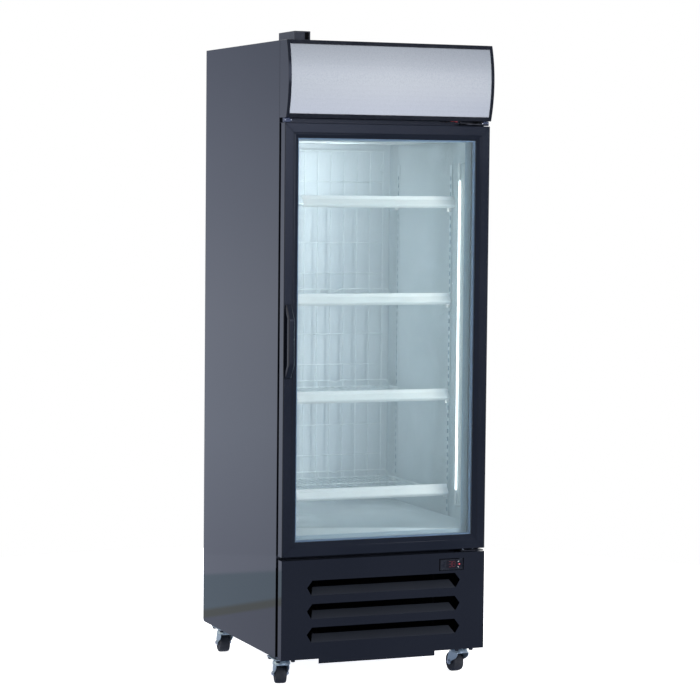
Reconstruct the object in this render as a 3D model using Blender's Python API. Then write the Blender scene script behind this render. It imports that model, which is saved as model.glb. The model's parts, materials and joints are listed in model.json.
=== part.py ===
"""Glass door merchandiser: a one-section upright refrigerator on casters with a lit sign canopy.

Units are metres, +Z is up and +X is to the right of someone facing the door. The origin is on the
floor, at the middle of the overall footprint. Every Y below is measured from the cabinet's front
edge, positive towards the back, and the empty cabinet_origin shifts it all to the origin.
"""

import math

import bmesh
import bpy
from mathutils import Matrix, Vector

# Overall cabinet
WIDTH = 0.688
HALF = WIDTH / 2
DEPTH = 0.693
HEIGHT = 2.000
BASE_Z = 0.095
SHEET = 0.001
GAP = 0.0003
REAR_CORNER_RADIUS = 0.012
INSIDE_PANELS = HALF - SHEET - GAP

# Insulated box and its liner
DECK_BOTTOM = 0.378
PAN_SHEET = 0.002
PAN_Z = (0.0957, 0.0957 + PAN_SHEET)
FLOOR_Z = 0.4975
SILL_Z = 0.474
SILL_Y = (0.004, 0.030)
CEILING_Z = 1.949
HEADER_BOTTOM = 1.7337
HEADER_BACK = 0.0463
LINER_HALF = 0.2932
LINER_BACK = 0.630
FLANGE_FRONT = -0.0020
STANDARD_WIDTH = 0.018
STANDARD_PROUD = 0.0037
STANDARD_Y = (0.121, 0.545)
STANDARD_Z = (0.4990, 1.630)

# Door
DOOR_FRONT = -0.0515
DOOR_BACK = -0.0175
DOOR_BOTTOM = 0.4155
DOOR_TOP = 1.749
FRAME_WIDTH = 0.046
CHANNEL_U = 0.0345
OUTER_PANE_Y = (-0.0455, -0.0415)
INNER_PANE_Y = (-0.0295, -0.0255)
GLASS_U = 0.0352
SPACER_U = (0.0358, 0.050)
GASKET_U = (0.009, 0.042)
GASKET_BACK = -0.0042
HINGE_X = 0.326
HINGE_Y = -0.034
PIN_RADIUS = 0.004
PIN_CLEARANCE = 0.0001
PIN_IN_DOOR = 0.012
BRACKET_X = (0.262, 0.340)
BRACKET_SHEET = 0.003
TOP_BRACKET_Z = 1.753
BOTTOM_BRACKET_Z = 0.4075

# Handle
HANDLE_X = (-0.3384, -0.3188)
HANDLE_REACH = 0.032
GRIP_DEPTH = 0.013
HANDLE_FOOT_Z = (0.967, 1.1955)
HANDLE_GRIP_TOP = 1.158
HANDLE_FOOT_HEIGHT = 0.018

# Sign canopy
CANOPY_BOTTOM = 1.7645
CANOPY_BACK = FLANGE_FRONT - GAP
BULGE_Y = -0.0802
BULGE_Z = 1.885
BULGE_RADIUS = 0.348
RIM = 0.010
CAP_WALL = 0.0025
CANOPY_SHEET = 0.0015
LIP = 0.0125
SIGN_SHEET = 0.0025
SWITCH_X = 0.225
SWITCH_Y = -0.038
SWITCH_SIZE = (0.018, 0.012)

# Base grille panel
GRILLE_TOP = 0.405
GRILLE_RETURN = 0.029
GRILLE_SHEET = 0.0012
GRILLE_TAB = 0.0015
LOUVRE_Z = 0.3180
LOUVRE_PITCH = 0.0733
LOUVRES = 3
LOUVRE_TOP = (0.2418, 0.0225)
LOUVRE_TIP = 0.2595
LOUVRE_LOW = (0.2448, -0.0243)
BLADE_IN = 0.0246
BLADE_RISE = 0.0217
BLADE_INSET = 0.0125
SKIRT_X = (-0.2190, 0.1748)
SKIRT_Z = 0.0798
CONTROLLER_X = (0.187, 0.272)
CONTROLLER_Z = (0.349, 0.387)
CONTROLLER_RECESS = 0.004
BUTTON_X = 0.2585
BUTTON_Z = 0.3672
BUTTON_RADIUS = 0.003

# Shelves
SHELF_Z = 1.4970
SHELF_PITCH = 0.307
SHELVES = 4
SHELF_HALF = 0.285
SHELF_Y = (0.092, 0.585)
SHELF_WIRE = 0.004
SHELF_WIRES = 13
SHELF_LIP = 0.022
STRIP_LENGTH = 0.520
STRIP_CENTRES = (0.025, 0.012, 0.012, 0.012)

# Rear wire guard
GUARD_HALF = 0.2604
GUARD_WIRES = 12
GUARD_WIRE = 0.003
GUARD_Y = 0.606
GUARD_TOP = 1.675
GUARD_BOTTOM = 0.507
GUARD_PAIR = 0.103
GUARD_BAYS = 4

# Condensing unit: the coil, the baffle that carries the fan, and the compressor
CONDENSER_X = (-0.200, 0.200)
CONDENSER_Y = (0.020, 0.060)
CONDENSER_Z = (0.112, 0.352)
BAFFLE_HALF = 0.338
BAFFLE_Y = 0.080
BAFFLE_Z = (0.0985, 0.3755)
BAFFLE_SHEET = 0.0015
FAN_Z = 0.236
FAN_HOLE = 0.112
FAN_RADIUS = 0.104
FAN_FRONT_Y = 0.0985
FAN_MOTOR = (0.038, 0.118, 0.172)
MOTOR_BAR = (0.130, 0.008, 0.003)
COMPRESSOR_AT = (0.100, 0.430)
COMPRESSOR_RADIUS = 0.086
COMPRESSOR_Z = (0.100, 0.290)

# Evaporator: the tray under it, its fan and its coil
TRAY_HALF = 0.285
TRAY_Y = (0.120, 0.620)
TRAY_Z = 1.698
TRAY_SHEET = 0.0012
COLD_FAN_Y = 0.330
COLD_FAN_RADIUS = 0.060
COLD_FAN_Z = 1.716
COLD_MOTOR = (0.026, 1.7295, 1.7700)
COLD_BAR = (0.085, 0.008, 0.0025)
COLD_COIL = ((-0.24, 0.24), (0.42, 0.54), (1.735, 1.900))
AIR_SLOT = (0.150, 0.165, (0.565, 0.600))

# Casters
CASTER_X = {"front": 0.305, "rear": 0.298}
CASTER_Y = {"front": 0.047, "rear": 0.600}
CASTER_YAW = {"front_left": -12.0, "front_right": 5.0, "rear_left": -6.0, "rear_right": -12.0}
CASTER_PLATE = (0.068, 0.092, 0.003)
CASTER_PAD = (0.050, 0.074, 0.0075)
CASTER_TOP = PAN_Z[0] - CASTER_PAD[2] - GAP
RACE_HEIGHT = 0.006
CROWN_RADIUS = 0.028
WHEEL_RADIUS = 0.032
WHEEL_WIDTH = 0.036
TRAIL = 0.028
AXLE_RADIUS = 0.004
AXLE_NUT_RADIUS = 0.0065
LEG_SHEET = 0.0025

CABINET_FRONT = (HANDLE_REACH - DOOR_FRONT - DEPTH) / 2
AXES = {"X": 0, "Y": 1, "Z": 2}


# ---------------------------------------------------------------- materials
def make_material(name, colour, roughness, metallic=0.0):
    material = bpy.data.materials.new(name)
    material.use_nodes = True
    shader = material.node_tree.nodes["Principled BSDF"]
    shader.inputs["Base Color"].default_value = (*colour, 1.0)
    shader.inputs["Roughness"].default_value = roughness
    shader.inputs["Metallic"].default_value = metallic
    return material


def make_materials():
    return {
        "black_steel": make_material("black_steel", (0.045, 0.048, 0.058), 0.32, 0.3),
        "black_frame": make_material("black_frame", (0.018, 0.021, 0.032), 0.38),
        "black_plastic": make_material("black_plastic", (0.02, 0.021, 0.025), 0.45),
        "white_liner": make_material("white_liner", (0.78, 0.84, 0.86), 0.35),
        "white_wire": make_material("white_wire", (0.85, 0.89, 0.90), 0.35),
        "white_plastic": make_material("white_plastic", (0.88, 0.92, 0.92), 0.30),
        "sign_face": make_material("sign_face", (0.72, 0.75, 0.82), 0.25),
        "glass": make_material("glass", (0.80, 0.88, 0.90), 0.05),
        "zinc": make_material("zinc", (0.70, 0.74, 0.76), 0.30, 0.9),
        "galvanised": make_material("galvanised", (0.55, 0.57, 0.58), 0.45, 0.8),
        "rubber": make_material("rubber", (0.03, 0.03, 0.03), 0.80),
        "foam": make_material("foam", (0.85, 0.78, 0.55), 0.95),
        "aluminium": make_material("aluminium", (0.75, 0.76, 0.78), 0.35, 0.9),
        "compressor_black": make_material("compressor_black", (0.03, 0.03, 0.035), 0.35, 0.3),
        "red_plastic": make_material("red_plastic", (0.75, 0.05, 0.04), 0.35),
    }


# ---------------------------------------------------------------- shape helpers
def placed(axis, u, v, w):
    """The point with w along the axis, and u and v along the other two in X, Y, Z order."""
    point = [u, v]
    point.insert(AXES[axis], w)
    return point


def prism(axis, outline, low, high):
    """A closed prism with this outline across the axis, from low to high."""
    shape = bmesh.new()
    ends = [[shape.verts.new(placed(axis, u, v, w)) for u, v in outline] for w in (low, high)]
    shape.faces.new(ends[0])
    shape.faces.new(ends[1])
    for i, first in enumerate(ends[0]):
        j = (i + 1) % len(outline)
        shape.faces.new((first, ends[0][j], ends[1][j], ends[1][i]))
    bmesh.ops.recalc_face_normals(shape, faces=shape.faces)
    return shape


def box(x, y, z):
    return prism("Z", [(x[0], y[0]), (x[1], y[0]), (x[1], y[1]), (x[0], y[1])], *z)


def circle(centre, radius, steps):
    angles = [2 * math.pi * i / steps for i in range(steps)]
    return [(centre[0] + radius * math.cos(a), centre[1] + radius * math.sin(a)) for a in angles]


def cylinder(axis, centre, radius, low, high, steps=24):
    return prism(axis, circle(centre, radius, steps), low, high)


def rounded_rectangle(half_u, half_v, radius, steps=4):
    """A rectangle's outline about the origin, with round corners."""
    corners = [(1, 1, 0), (-1, 1, 90), (-1, -1, 180), (1, -1, 270)]
    outline = []
    for side_u, side_v, start in corners:
        for step in range(steps + 1):
            angle = math.radians(start + 90 * step / steps)
            u = side_u * (half_u - radius) + radius * math.cos(angle)
            v = side_v * (half_v - radius) + radius * math.sin(angle)
            outline.append((u, v))
    return outline


def frame_ring(outer, inner, y):
    """A flat rectangular ring in X and Z. outer and inner are distances in from the door's edge."""
    outside, inside = (
        [(x, z) for x, z in ((-HALF + u, DOOR_BOTTOM + u), (HALF - u, DOOR_BOTTOM + u),
                             (HALF - u, DOOR_TOP - u), (-HALF + u, DOOR_TOP - u))]
        for u in (outer, inner)
    )
    shape = bmesh.new()
    rings = [[shape.verts.new((x, w, z)) for x, z in ring] for w in y for ring in (outside, inside)]
    front_out, front_in, back_out, back_in = rings
    for i in range(4):
        j = (i + 1) % 4
        shape.faces.new((front_out[i], front_out[j], front_in[j], front_in[i]))
        shape.faces.new((back_out[i], back_in[i], back_in[j], back_out[j]))
        shape.faces.new((front_out[i], back_out[i], back_out[j], front_out[j]))
        shape.faces.new((front_in[i], front_in[j], back_in[j], back_in[i]))
    bmesh.ops.recalc_face_normals(shape, faces=shape.faces)
    return shape


def lattice(axis, bars_u, bars_v, low, high):
    """A flat grid of crossing square bars. Each bar is a (centre, width) pair across its direction."""
    edges_u = [c + side * w / 2 for c, w in bars_u for side in (-1, 1)]
    edges_v = [c + side * w / 2 for c, w in bars_v for side in (-1, 1)]
    cells = {(i, j) for i in range(len(edges_u) - 1) for j in range(len(edges_v) - 1)
             if i % 2 == 0 or j % 2 == 0}
    shape = bmesh.new()
    grid = {}
    for k, w in enumerate((low, high)):
        for i, u in enumerate(edges_u):
            for j, v in enumerate(edges_v):
                grid[i, j, k] = shape.verts.new(placed(axis, u, v, w))
    for i, j in cells:
        corners = [(i, j), (i + 1, j), (i + 1, j + 1), (i, j + 1)]
        beyond = [(i, j - 1), (i + 1, j), (i, j + 1), (i - 1, j)]
        shape.faces.new([grid[a, b, 0] for a, b in corners])
        shape.faces.new([grid[a, b, 1] for a, b in corners])
        for side, cell in enumerate(beyond):
            if cell not in cells:
                (a, b), (c, d) = corners[side], corners[(side + 1) % 4]
                shape.faces.new((grid[a, b, 0], grid[c, d, 0], grid[c, d, 1], grid[a, b, 1]))
    bmesh.ops.recalc_face_normals(shape, faces=shape.faces)
    return shape


def turned(axis, centre, profile, steps):
    """A closed ring or solid turned about the axis. profile is a closed loop of (radius, along)."""
    shape = bmesh.new()
    rings = []
    for i in range(steps):
        angle = 2 * math.pi * i / steps
        ring = []
        for radius, along in profile:
            u = centre[0] + radius * math.cos(angle)
            v = centre[1] + radius * math.sin(angle)
            ring.append(shape.verts.new(placed(axis, u, v, along)))
        rings.append(ring)
    for i, ring in enumerate(rings):
        after = rings[(i + 1) % steps]
        for a, first in enumerate(ring):
            b = (a + 1) % len(ring)
            shape.faces.new((first, ring[b], after[b], after[a]))
    bmesh.ops.remove_doubles(shape, verts=shape.verts, dist=1e-6)
    bmesh.ops.recalc_face_normals(shape, faces=shape.faces)
    return shape


def moved(shape, matrix):
    bmesh.ops.transform(shape, matrix=matrix, verts=shape.verts)
    return shape


def mesh_of(name, shape):
    mesh = bpy.data.meshes.new(name)
    shape.to_mesh(mesh)
    shape.free()
    return mesh


def combined(name, base, unions=(), cuts=()):
    """One closed mesh: the base with each union joined to it, then each cut taken out of it."""
    body = bpy.data.objects.new(name, mesh_of(name, base))
    bpy.context.scene.collection.objects.link(body)
    helpers = []
    for operation, shapes in (("UNION", unions), ("DIFFERENCE", cuts)):
        for shape in shapes:
            helper = bpy.data.objects.new("helper", mesh_of("helper", shape))
            bpy.context.scene.collection.objects.link(helper)
            helpers.append(helper)
            boolean = body.modifiers.new(operation.lower(), "BOOLEAN")
            boolean.operation = operation
            boolean.solver = "EXACT"
            boolean.object = helper
    graph = bpy.context.evaluated_depsgraph_get()
    mesh = bpy.data.meshes.new_from_object(body.evaluated_get(graph))
    for used in (body, *helpers):
        bpy.data.objects.remove(used)
    return mesh


def shape_from(mesh):
    shape = bmesh.new()
    shape.from_mesh(mesh)
    return shape


def add_empty(name, at, parent=None):
    empty = bpy.data.objects.new(name, None)
    empty.empty_display_size = 0.05
    empty.location = at
    empty.parent = parent
    bpy.context.scene.collection.objects.link(empty)
    return empty


def add_node(name, mesh, material, parent, at=(0, 0, 0)):
    """Puts the mesh in the scene as one sub-part. at is its origin's place under its parent."""
    if isinstance(mesh, bmesh.types.BMesh):
        mesh = mesh_of(name, mesh)
    mesh.materials.clear()
    mesh.materials.append(material)
    mesh.shade_smooth()
    mesh.set_sharp_from_angle(angle=math.radians(35))
    node = bpy.data.objects.new(name, mesh)
    node.location = at
    node.parent = parent
    bpy.context.scene.collection.objects.link(node)
    return node


# ---------------------------------------------------------------- cabinet
def build_shell(mats, origin):
    """Outer sheets: two full-height sides, back, roof, the rear vent cover and the base pan on its pads."""
    r = REAR_CORNER_RADIUS
    corner = [(DEPTH - r + r * math.sin(a), BASE_Z + r - r * math.cos(a))
              for a in (math.radians(90 * i / 5) for i in range(6))]
    side = [(0, BASE_Z), *corner, (DEPTH, HEIGHT), (0, HEIGHT)]
    add_node("side_panel_left", prism("X", side, -HALF, -HALF + SHEET), mats["black_steel"], origin)
    add_node("side_panel_right", prism("X", side, HALF - SHEET, HALF), mats["black_steel"], origin)
    across = (-INSIDE_PANELS, INSIDE_PANELS)
    back = (DEPTH - SHEET, DEPTH)
    add_node("roof_panel", box(across, (0, back[0] - GAP), (HEIGHT - SHEET, HEIGHT)),
             mats["black_steel"], origin)
    add_node("back_panel", box(across, back, (0.4185, HEIGHT)), mats["galvanised"], origin)

    columns = [(-0.321, 0.042), (0.0, 0.06), (0.321, 0.042)]
    rows = [(0.125, 0.036), *((0.17 + 0.025 * i, 0.013) for i in range(8)), (0.389, 0.055)]
    vents = lattice("Y", columns, rows, *back)
    add_node("rear_grille", vents, mats["galvanised"], origin)

    front, rear = GAP, DEPTH - SHEET - GAP
    pan = box(across, (front, rear), PAN_Z)
    lips = [box(across, y, (PAN_Z[0], PAN_Z[1] + 0.014))
            for y in ((front, front + PAN_SHEET), (rear - PAN_SHEET, rear))]
    half_x, half_y, thick = CASTER_PAD[0] / 2, CASTER_PAD[1] / 2, CASTER_PAD[2]
    pads = []
    for end, x in CASTER_X.items():
        for at in (-x, x):
            y = CASTER_Y[end]
            pads.append(box((at - half_x, at + half_x), (y - half_y, y + half_y),
                            (PAN_Z[0] - thick, PAN_Z[0] + PAN_SHEET / 2)))
    add_node("base_pan", combined("base_pan", pan, lips + pads), mats["galvanised"], origin)


def cavity_outline(grow, front=-0.02):
    """The food compartment seen from the side: sloping sill, floor, raised rear ceiling. It can be grown."""
    sill, floor, ceiling = SILL_Z - grow, FLOOR_Z - grow, CEILING_Z + grow
    header, header_back, back = HEADER_BOTTOM + grow, HEADER_BACK - grow, LINER_BACK + grow
    return [(front, sill), (SILL_Y[0], sill), (SILL_Y[1], floor), (back, floor), (back, ceiling),
            (header_back, ceiling), (header_back, header), (front, header)]


def build_insulated_box(mats, origin):
    """The foam body and the one-piece white liner with its front flange and shelf standards."""
    foam = box((-INSIDE_PANELS, INSIDE_PANELS), (GAP, DEPTH - SHEET - GAP),
               (DECK_BOTTOM, HEIGHT - SHEET - GAP))
    foam_grow = SHEET + GAP
    cavity = prism("X", cavity_outline(foam_grow), -LINER_HALF - foam_grow, LINER_HALF + foam_grow)
    add_node("insulation", combined("insulation", foam, cuts=[cavity]), mats["foam"], origin)

    sleeve = prism("X", cavity_outline(SHEET, FLANGE_FRONT), -LINER_HALF - SHEET, LINER_HALF + SHEET)
    flange = box((-HALF, HALF), (FLANGE_FRONT, -GAP), (DECK_BOTTOM, HEIGHT))
    hollow = prism("X", cavity_outline(0), -LINER_HALF, LINER_HALF)
    liner = combined("liner", flange, [sleeve], [hollow])
    standards = []
    for side in (-1, 1):
        x = sorted((side * (LINER_HALF + SHEET / 2), side * (LINER_HALF - STANDARD_PROUD)))
        for y in STANDARD_Y:
            standards.append(box(x, (y - STANDARD_WIDTH / 2, y + STANDARD_WIDTH / 2), STANDARD_Z))
    liner = combined("liner", shape_from(liner), standards)
    add_node("inner_liner", liner, mats["white_liner"], origin)


def build_roof_box(mats, origin):
    """The small wiring box on the roof: an open-bottomed cover with a window in its front."""
    x, y, z = (-0.2965, -0.2445), (0.0, 0.137), (HEIGHT + GAP, 2.030)
    wall = 0.0015
    cover = box(x, y, z)
    inside = box((x[0] + wall, x[1] - wall), (y[0] + wall, y[1] - wall), (z[0] - wall, z[1] - wall))
    window = box((-0.262, -0.249), (-0.01, 0.01), (z[0] + 0.004, z[1] - 0.004))
    add_node("roof_wiring_box", combined("roof_box", cover, cuts=[inside, window]),
             mats["black_plastic"], origin)


# ---------------------------------------------------------------- sign canopy
def bulge(z, inset=0.0):
    """Y of the canopy's curved front at this height, on an arc inset from the outer one."""
    radius = BULGE_RADIUS - inset
    return BULGE_Y + BULGE_RADIUS - math.sqrt(radius ** 2 - (z - BULGE_Z) ** 2)


def arc_points(low, high, inset=0.0, steps=16):
    heights = [low + (high - low) * i / steps for i in range(steps + 1)]
    return [(bulge(z, inset), z) for z in heights]


def build_canopy(mats, origin):
    """Curved end caps, a C-section housing, the translucent sign face, its lamp and the switch."""
    side = [(CANOPY_BACK, CANOPY_BOTTOM), *arc_points(CANOPY_BOTTOM, HEIGHT), (CANOPY_BACK, HEIGHT)]
    low, high = CANOPY_BOTTOM + 0.008, HEIGHT - 0.008
    pocket = [(CANOPY_BACK - 0.008, low), *arc_points(low, high, 0.008), (CANOPY_BACK - 0.008, high)]
    for name, sign in (("left", -1), ("right", 1)):
        cap = prism("X", side, *sorted((sign * HALF, sign * (HALF - RIM))))
        hollow = prism("X", pocket, *sorted((sign * (HALF - CAP_WALL), sign * (HALF - 0.02))))
        add_node(f"canopy_end_{name}", combined("end_cap", cap, cuts=[hollow]),
                 mats["black_plastic"], origin)

    t = CANOPY_SHEET
    lip_low, lip_high = CANOPY_BOTTOM + LIP, HEIGHT - LIP
    outside = [*arc_points(CANOPY_BOTTOM, lip_low, steps=2)[::-1], (CANOPY_BACK, CANOPY_BOTTOM),
               (CANOPY_BACK, HEIGHT), *arc_points(lip_high, HEIGHT, steps=2)[::-1]]
    inside = [*arc_points(lip_high, HEIGHT - t, t, steps=2), (CANOPY_BACK - t, HEIGHT - t),
              (CANOPY_BACK - t, CANOPY_BOTTOM + t), *arc_points(CANOPY_BOTTOM + t, lip_low, t, steps=2)]
    reach = HALF - RIM - GAP
    housing = prism("X", outside + inside, -reach, reach)
    half_x, half_y = (size / 2 + 0.0015 for size in SWITCH_SIZE)
    hole = box((SWITCH_X - half_x, SWITCH_X + half_x), (SWITCH_Y - half_y, SWITCH_Y + half_y),
               (CANOPY_BOTTOM - 0.01, CANOPY_BOTTOM + 0.01))
    add_node("canopy_housing", combined("canopy_housing", housing, cuts=[hole]),
             mats["black_plastic"], origin)

    inset = t + GAP
    low, high = CANOPY_BOTTOM + inset, HEIGHT - inset
    face = [*arc_points(low, high, inset), *arc_points(low, high, inset + SIGN_SHEET)[::-1]]
    add_node("sign_face", prism("X", face, -reach, reach), mats["sign_face"], origin)

    back = CANOPY_BACK - t - GAP
    lamp = [(back, 1.868), (back - 0.004, 1.868), (back - 0.010, 1.876), (back - 0.010, 1.888),
            (back - 0.004, 1.896), (back, 1.896)]
    add_node("sign_lamp", prism("X", lamp, -0.30, 0.30), mats["aluminium"], origin)

    half_x, half_y = (size / 2 for size in SWITCH_SIZE)
    rocker = [(-half_x, 0.0025), (-half_x, -0.0030), (0, -0.0012), (half_x, -0.0045), (half_x, 0.0025)]
    add_node("light_switch", prism("Y", rocker, -half_y, half_y), mats["red_plastic"], origin,
             at=(SWITCH_X, SWITCH_Y, CANOPY_BOTTOM))


# ---------------------------------------------------------------- door
def frame_profile():
    """Section of a door member: u runs in from the outer edge, y from front to back."""
    lip_back, heel = OUTER_PANE_Y[0] - GAP, INNER_PANE_Y[1] + GAP
    return [
        (0, DOOR_FRONT + 0.0015), (0.0015, DOOR_FRONT), (0.0290, DOOR_FRONT),
        (0.0296, DOOR_FRONT + 0.0012), (0.0312, DOOR_FRONT + 0.0012), (0.0320, DOOR_FRONT),
        (0.0340, DOOR_FRONT), (FRAME_WIDTH - 0.0008, DOOR_FRONT + 0.0045), (FRAME_WIDTH, lip_back),
        (CHANNEL_U, lip_back), (CHANNEL_U, heel), (FRAME_WIDTH, heel),
        (FRAME_WIDTH, DOOR_BACK - 0.0015), (FRAME_WIDTH - 0.0015, DOOR_BACK),
        (0.0015, DOOR_BACK), (0, DOOR_BACK - 0.0015),
    ]


def mitred_member(side):
    """One member of the door frame, cut at 45 degrees at both ends."""
    shape = bmesh.new()
    ends = []
    for end in (-1, 1):
        ring = []
        for u, y in frame_profile():
            across = {"left": -HALF + u, "right": HALF - u, "bottom": DOOR_BOTTOM + u,
                      "top": DOOR_TOP - u}[side]
            if side in ("left", "right"):
                along = DOOR_BOTTOM + u + GAP if end < 0 else DOOR_TOP - u - GAP
                ring.append(shape.verts.new((across, y, along)))
            else:
                ring.append(shape.verts.new((end * (HALF - u - GAP), y, across)))
        ends.append(ring)
    shape.faces.new(ends[0])
    shape.faces.new(ends[1])
    for i, first in enumerate(ends[0]):
        j = (i + 1) % len(ends[0])
        shape.faces.new((first, ends[0][j], ends[1][j], ends[1][i]))
    bmesh.ops.recalc_face_normals(shape, faces=shape.faces)
    return shape


def handle_shape():
    """The bent pull: two slanted legs and a straight grip that stands clear of the door."""
    foot, front = DOOR_FRONT - GAP, DOOR_FRONT - HANDLE_REACH
    back = front + GRIP_DEPTH
    low, high = HANDLE_FOOT_Z
    knee = HANDLE_GRIP_TOP
    middle = (low + high) / 2
    outer = [(foot, high), (front + 0.004, knee + 0.003), (front + 0.001, knee), (front, knee - 0.006)]
    inner = [(back, knee - 0.010), (back - 0.001, knee - 0.004), (foot, high - HANDLE_FOOT_HEIGHT)]
    mirrored = [(y, 2 * middle - z) for y, z in reversed(inner + outer)]
    return prism("X", outer + mirrored + inner, *HANDLE_X)


def build_door(mats, origin):
    """Mitred frame, double glazing with its spacer, magnetic gasket and handle, on the hinge axis."""
    hinge = Vector((HINGE_X, HINGE_Y, DOOR_BOTTOM))
    pivot = add_empty("door_pivot", hinge, origin)
    names = {"left": "door_stile_left", "right": "door_stile_right",
             "top": "door_rail_top", "bottom": "door_rail_bottom"}
    bores = {"top": (DOOR_TOP - PIN_IN_DOOR - 0.001, DOOR_TOP + 0.01),
             "bottom": (DOOR_BOTTOM - 0.01, DOOR_BOTTOM + PIN_IN_DOOR + 0.001)}
    for side, name in names.items():
        member = mitred_member(side)
        if side in bores:
            bore = cylinder("Z", (HINGE_X, HINGE_Y), PIN_RADIUS + PIN_CLEARANCE, *bores[side])
            member = combined(name, member, cuts=[bore])
        add_node(name, member, mats["black_frame"], pivot, at=-hinge)

    for name, y in (("glass_outer", OUTER_PANE_Y), ("glass_inner", INNER_PANE_Y)):
        across = (-HALF + GLASS_U, HALF - GLASS_U)
        upright = (DOOR_BOTTOM + GLASS_U, DOOR_TOP - GLASS_U)
        add_node(name, box(across, y, upright), mats["glass"], pivot, at=-hinge)
    between = (OUTER_PANE_Y[1] + GAP, INNER_PANE_Y[0] - GAP)
    add_node("glass_spacer", frame_ring(*SPACER_U, between), mats["aluminium"], pivot, at=-hinge)
    add_node("door_gasket", frame_ring(*GASKET_U, (DOOR_BACK + GAP, GASKET_BACK)), mats["rubber"],
             pivot, at=-hinge)
    add_node("door_handle", handle_shape(), mats["black_plastic"], pivot, at=-hinge)


def build_hinges(mats, origin):
    """Angle brackets on the cabinet front, each with a pin into the door's edge."""
    t = BRACKET_SHEET
    sides = {
        "top": (TOP_BRACKET_Z, (TOP_BRACKET_Z, TOP_BRACKET_Z + 0.010),
                (DOOR_TOP - PIN_IN_DOOR, TOP_BRACKET_Z + t / 2)),
        "bottom": (BOTTOM_BRACKET_Z, (BOTTOM_BRACKET_Z, BOTTOM_BRACKET_Z + 0.0065),
                   (BOTTOM_BRACKET_Z + t / 2, DOOR_BOTTOM + PIN_IN_DOOR)),
    }
    wall = FLANGE_FRONT - GAP
    for side, (z, flange_z, pin_z) in sides.items():
        plate = box(BRACKET_X, (-0.050, wall), (z, z + t))
        flange = box(BRACKET_X, (wall - t, wall), flange_z)
        pin = cylinder("Z", (HINGE_X, HINGE_Y), PIN_RADIUS, *pin_z)
        add_node(f"hinge_bracket_{side}", combined("bracket", plate, [flange, pin]), mats["black_steel"],
                 origin)


# ---------------------------------------------------------------- base grille and controller
def louvre_blade(z):
    """A sloping blade: its low edge joins the panel and its narrower high edge leans inwards."""
    half, drop = LOUVRE_LOW
    front = DOOR_FRONT + GRILLE_SHEET / 2
    t = GRILLE_SHEET
    low = [(-half, front, z + drop - t), (half, front, z + drop - t)]
    high = [(half - BLADE_INSET, front + BLADE_IN, z + drop + BLADE_RISE),
            (-half + BLADE_INSET, front + BLADE_IN, z + drop + BLADE_RISE)]
    shape = bmesh.new()
    under = [shape.verts.new(p) for p in low + high]
    over = [shape.verts.new((x, y - t * 0.6, w + t)) for x, y, w in low + high]
    shape.faces.new(under)
    shape.faces.new(over)
    for i in range(4):
        j = (i + 1) % 4
        shape.faces.new((under[i], under[j], over[j], over[i]))
    bmesh.ops.recalc_face_normals(shape, faces=shape.faces)
    return shape


def build_grille(mats, origin):
    """The folded front panel of the machine compartment with its three louvres."""
    t = GRILLE_SHEET
    back = DOOR_FRONT + GRILLE_RETURN
    panel = box((-HALF, HALF), (DOOR_FRONT, back), (BASE_Z, GRILLE_TOP))
    hollow = box((-HALF + t, HALF - t), (DOOR_FRONT + t, back + 0.01), (BASE_Z - 0.01, GRILLE_TOP - t))
    window = box(CONTROLLER_X, (DOOR_FRONT - 0.01, DOOR_FRONT + 0.01), CONTROLLER_Z)
    (top_x, top_z), (low_x, low_z) = LOUVRE_TOP, LOUVRE_LOW
    slots, blades = [], []
    for i in range(LOUVRES):
        z = LOUVRE_Z - i * LOUVRE_PITCH
        outline = [(-low_x, z + low_z), (low_x, z + low_z), (LOUVRE_TIP, z), (top_x, z + top_z),
                   (-top_x, z + top_z), (-LOUVRE_TIP, z)]
        slots.append(prism("Y", outline, DOOR_FRONT - 0.01, DOOR_FRONT + 0.01))
        blades.append(louvre_blade(z))
    shell = combined("grille_shell", panel, cuts=[hollow, window, *slots])
    skirt = box(SKIRT_X, (DOOR_FRONT, DOOR_FRONT + t), (SKIRT_Z, BASE_Z + 0.01))
    tabs = [box((x - 0.012, x + 0.012), (DOOR_FRONT + t / 2, reach), (z, z + GRILLE_TAB))
            for x in (-0.30, 0.30) for z, reach in ((0.102, 0.0), (0.388, FLANGE_FRONT - GAP))]
    add_node("base_grille_panel", combined("grille", shape_from(shell), [skirt, *blades, *tabs]),
             mats["black_steel"], origin)


def build_controller(mats, origin):
    """The temperature controller in its window, with its push button."""
    face = DOOR_FRONT + CONTROLLER_RECESS
    x = (CONTROLLER_X[0] + 0.0005, CONTROLLER_X[1] - 0.0005)
    z = (CONTROLLER_Z[0] + 0.0005, CONTROLLER_Z[1] - 0.0005)
    body = box(x, (face, face + 0.036), z)
    pocket = cylinder("Y", (BUTTON_X, BUTTON_Z), BUTTON_RADIUS + 0.0005, face - 0.01, face + 0.004, 20)
    add_node("temperature_controller", combined("controller", body, cuts=[pocket]),
             mats["black_plastic"], origin)
    button = cylinder("Y", (0, 0), BUTTON_RADIUS, -0.0012, 0.0022, 20)
    add_node("controller_button", button, mats["red_plastic"], origin,
             at=(BUTTON_X, face, BUTTON_Z))


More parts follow.
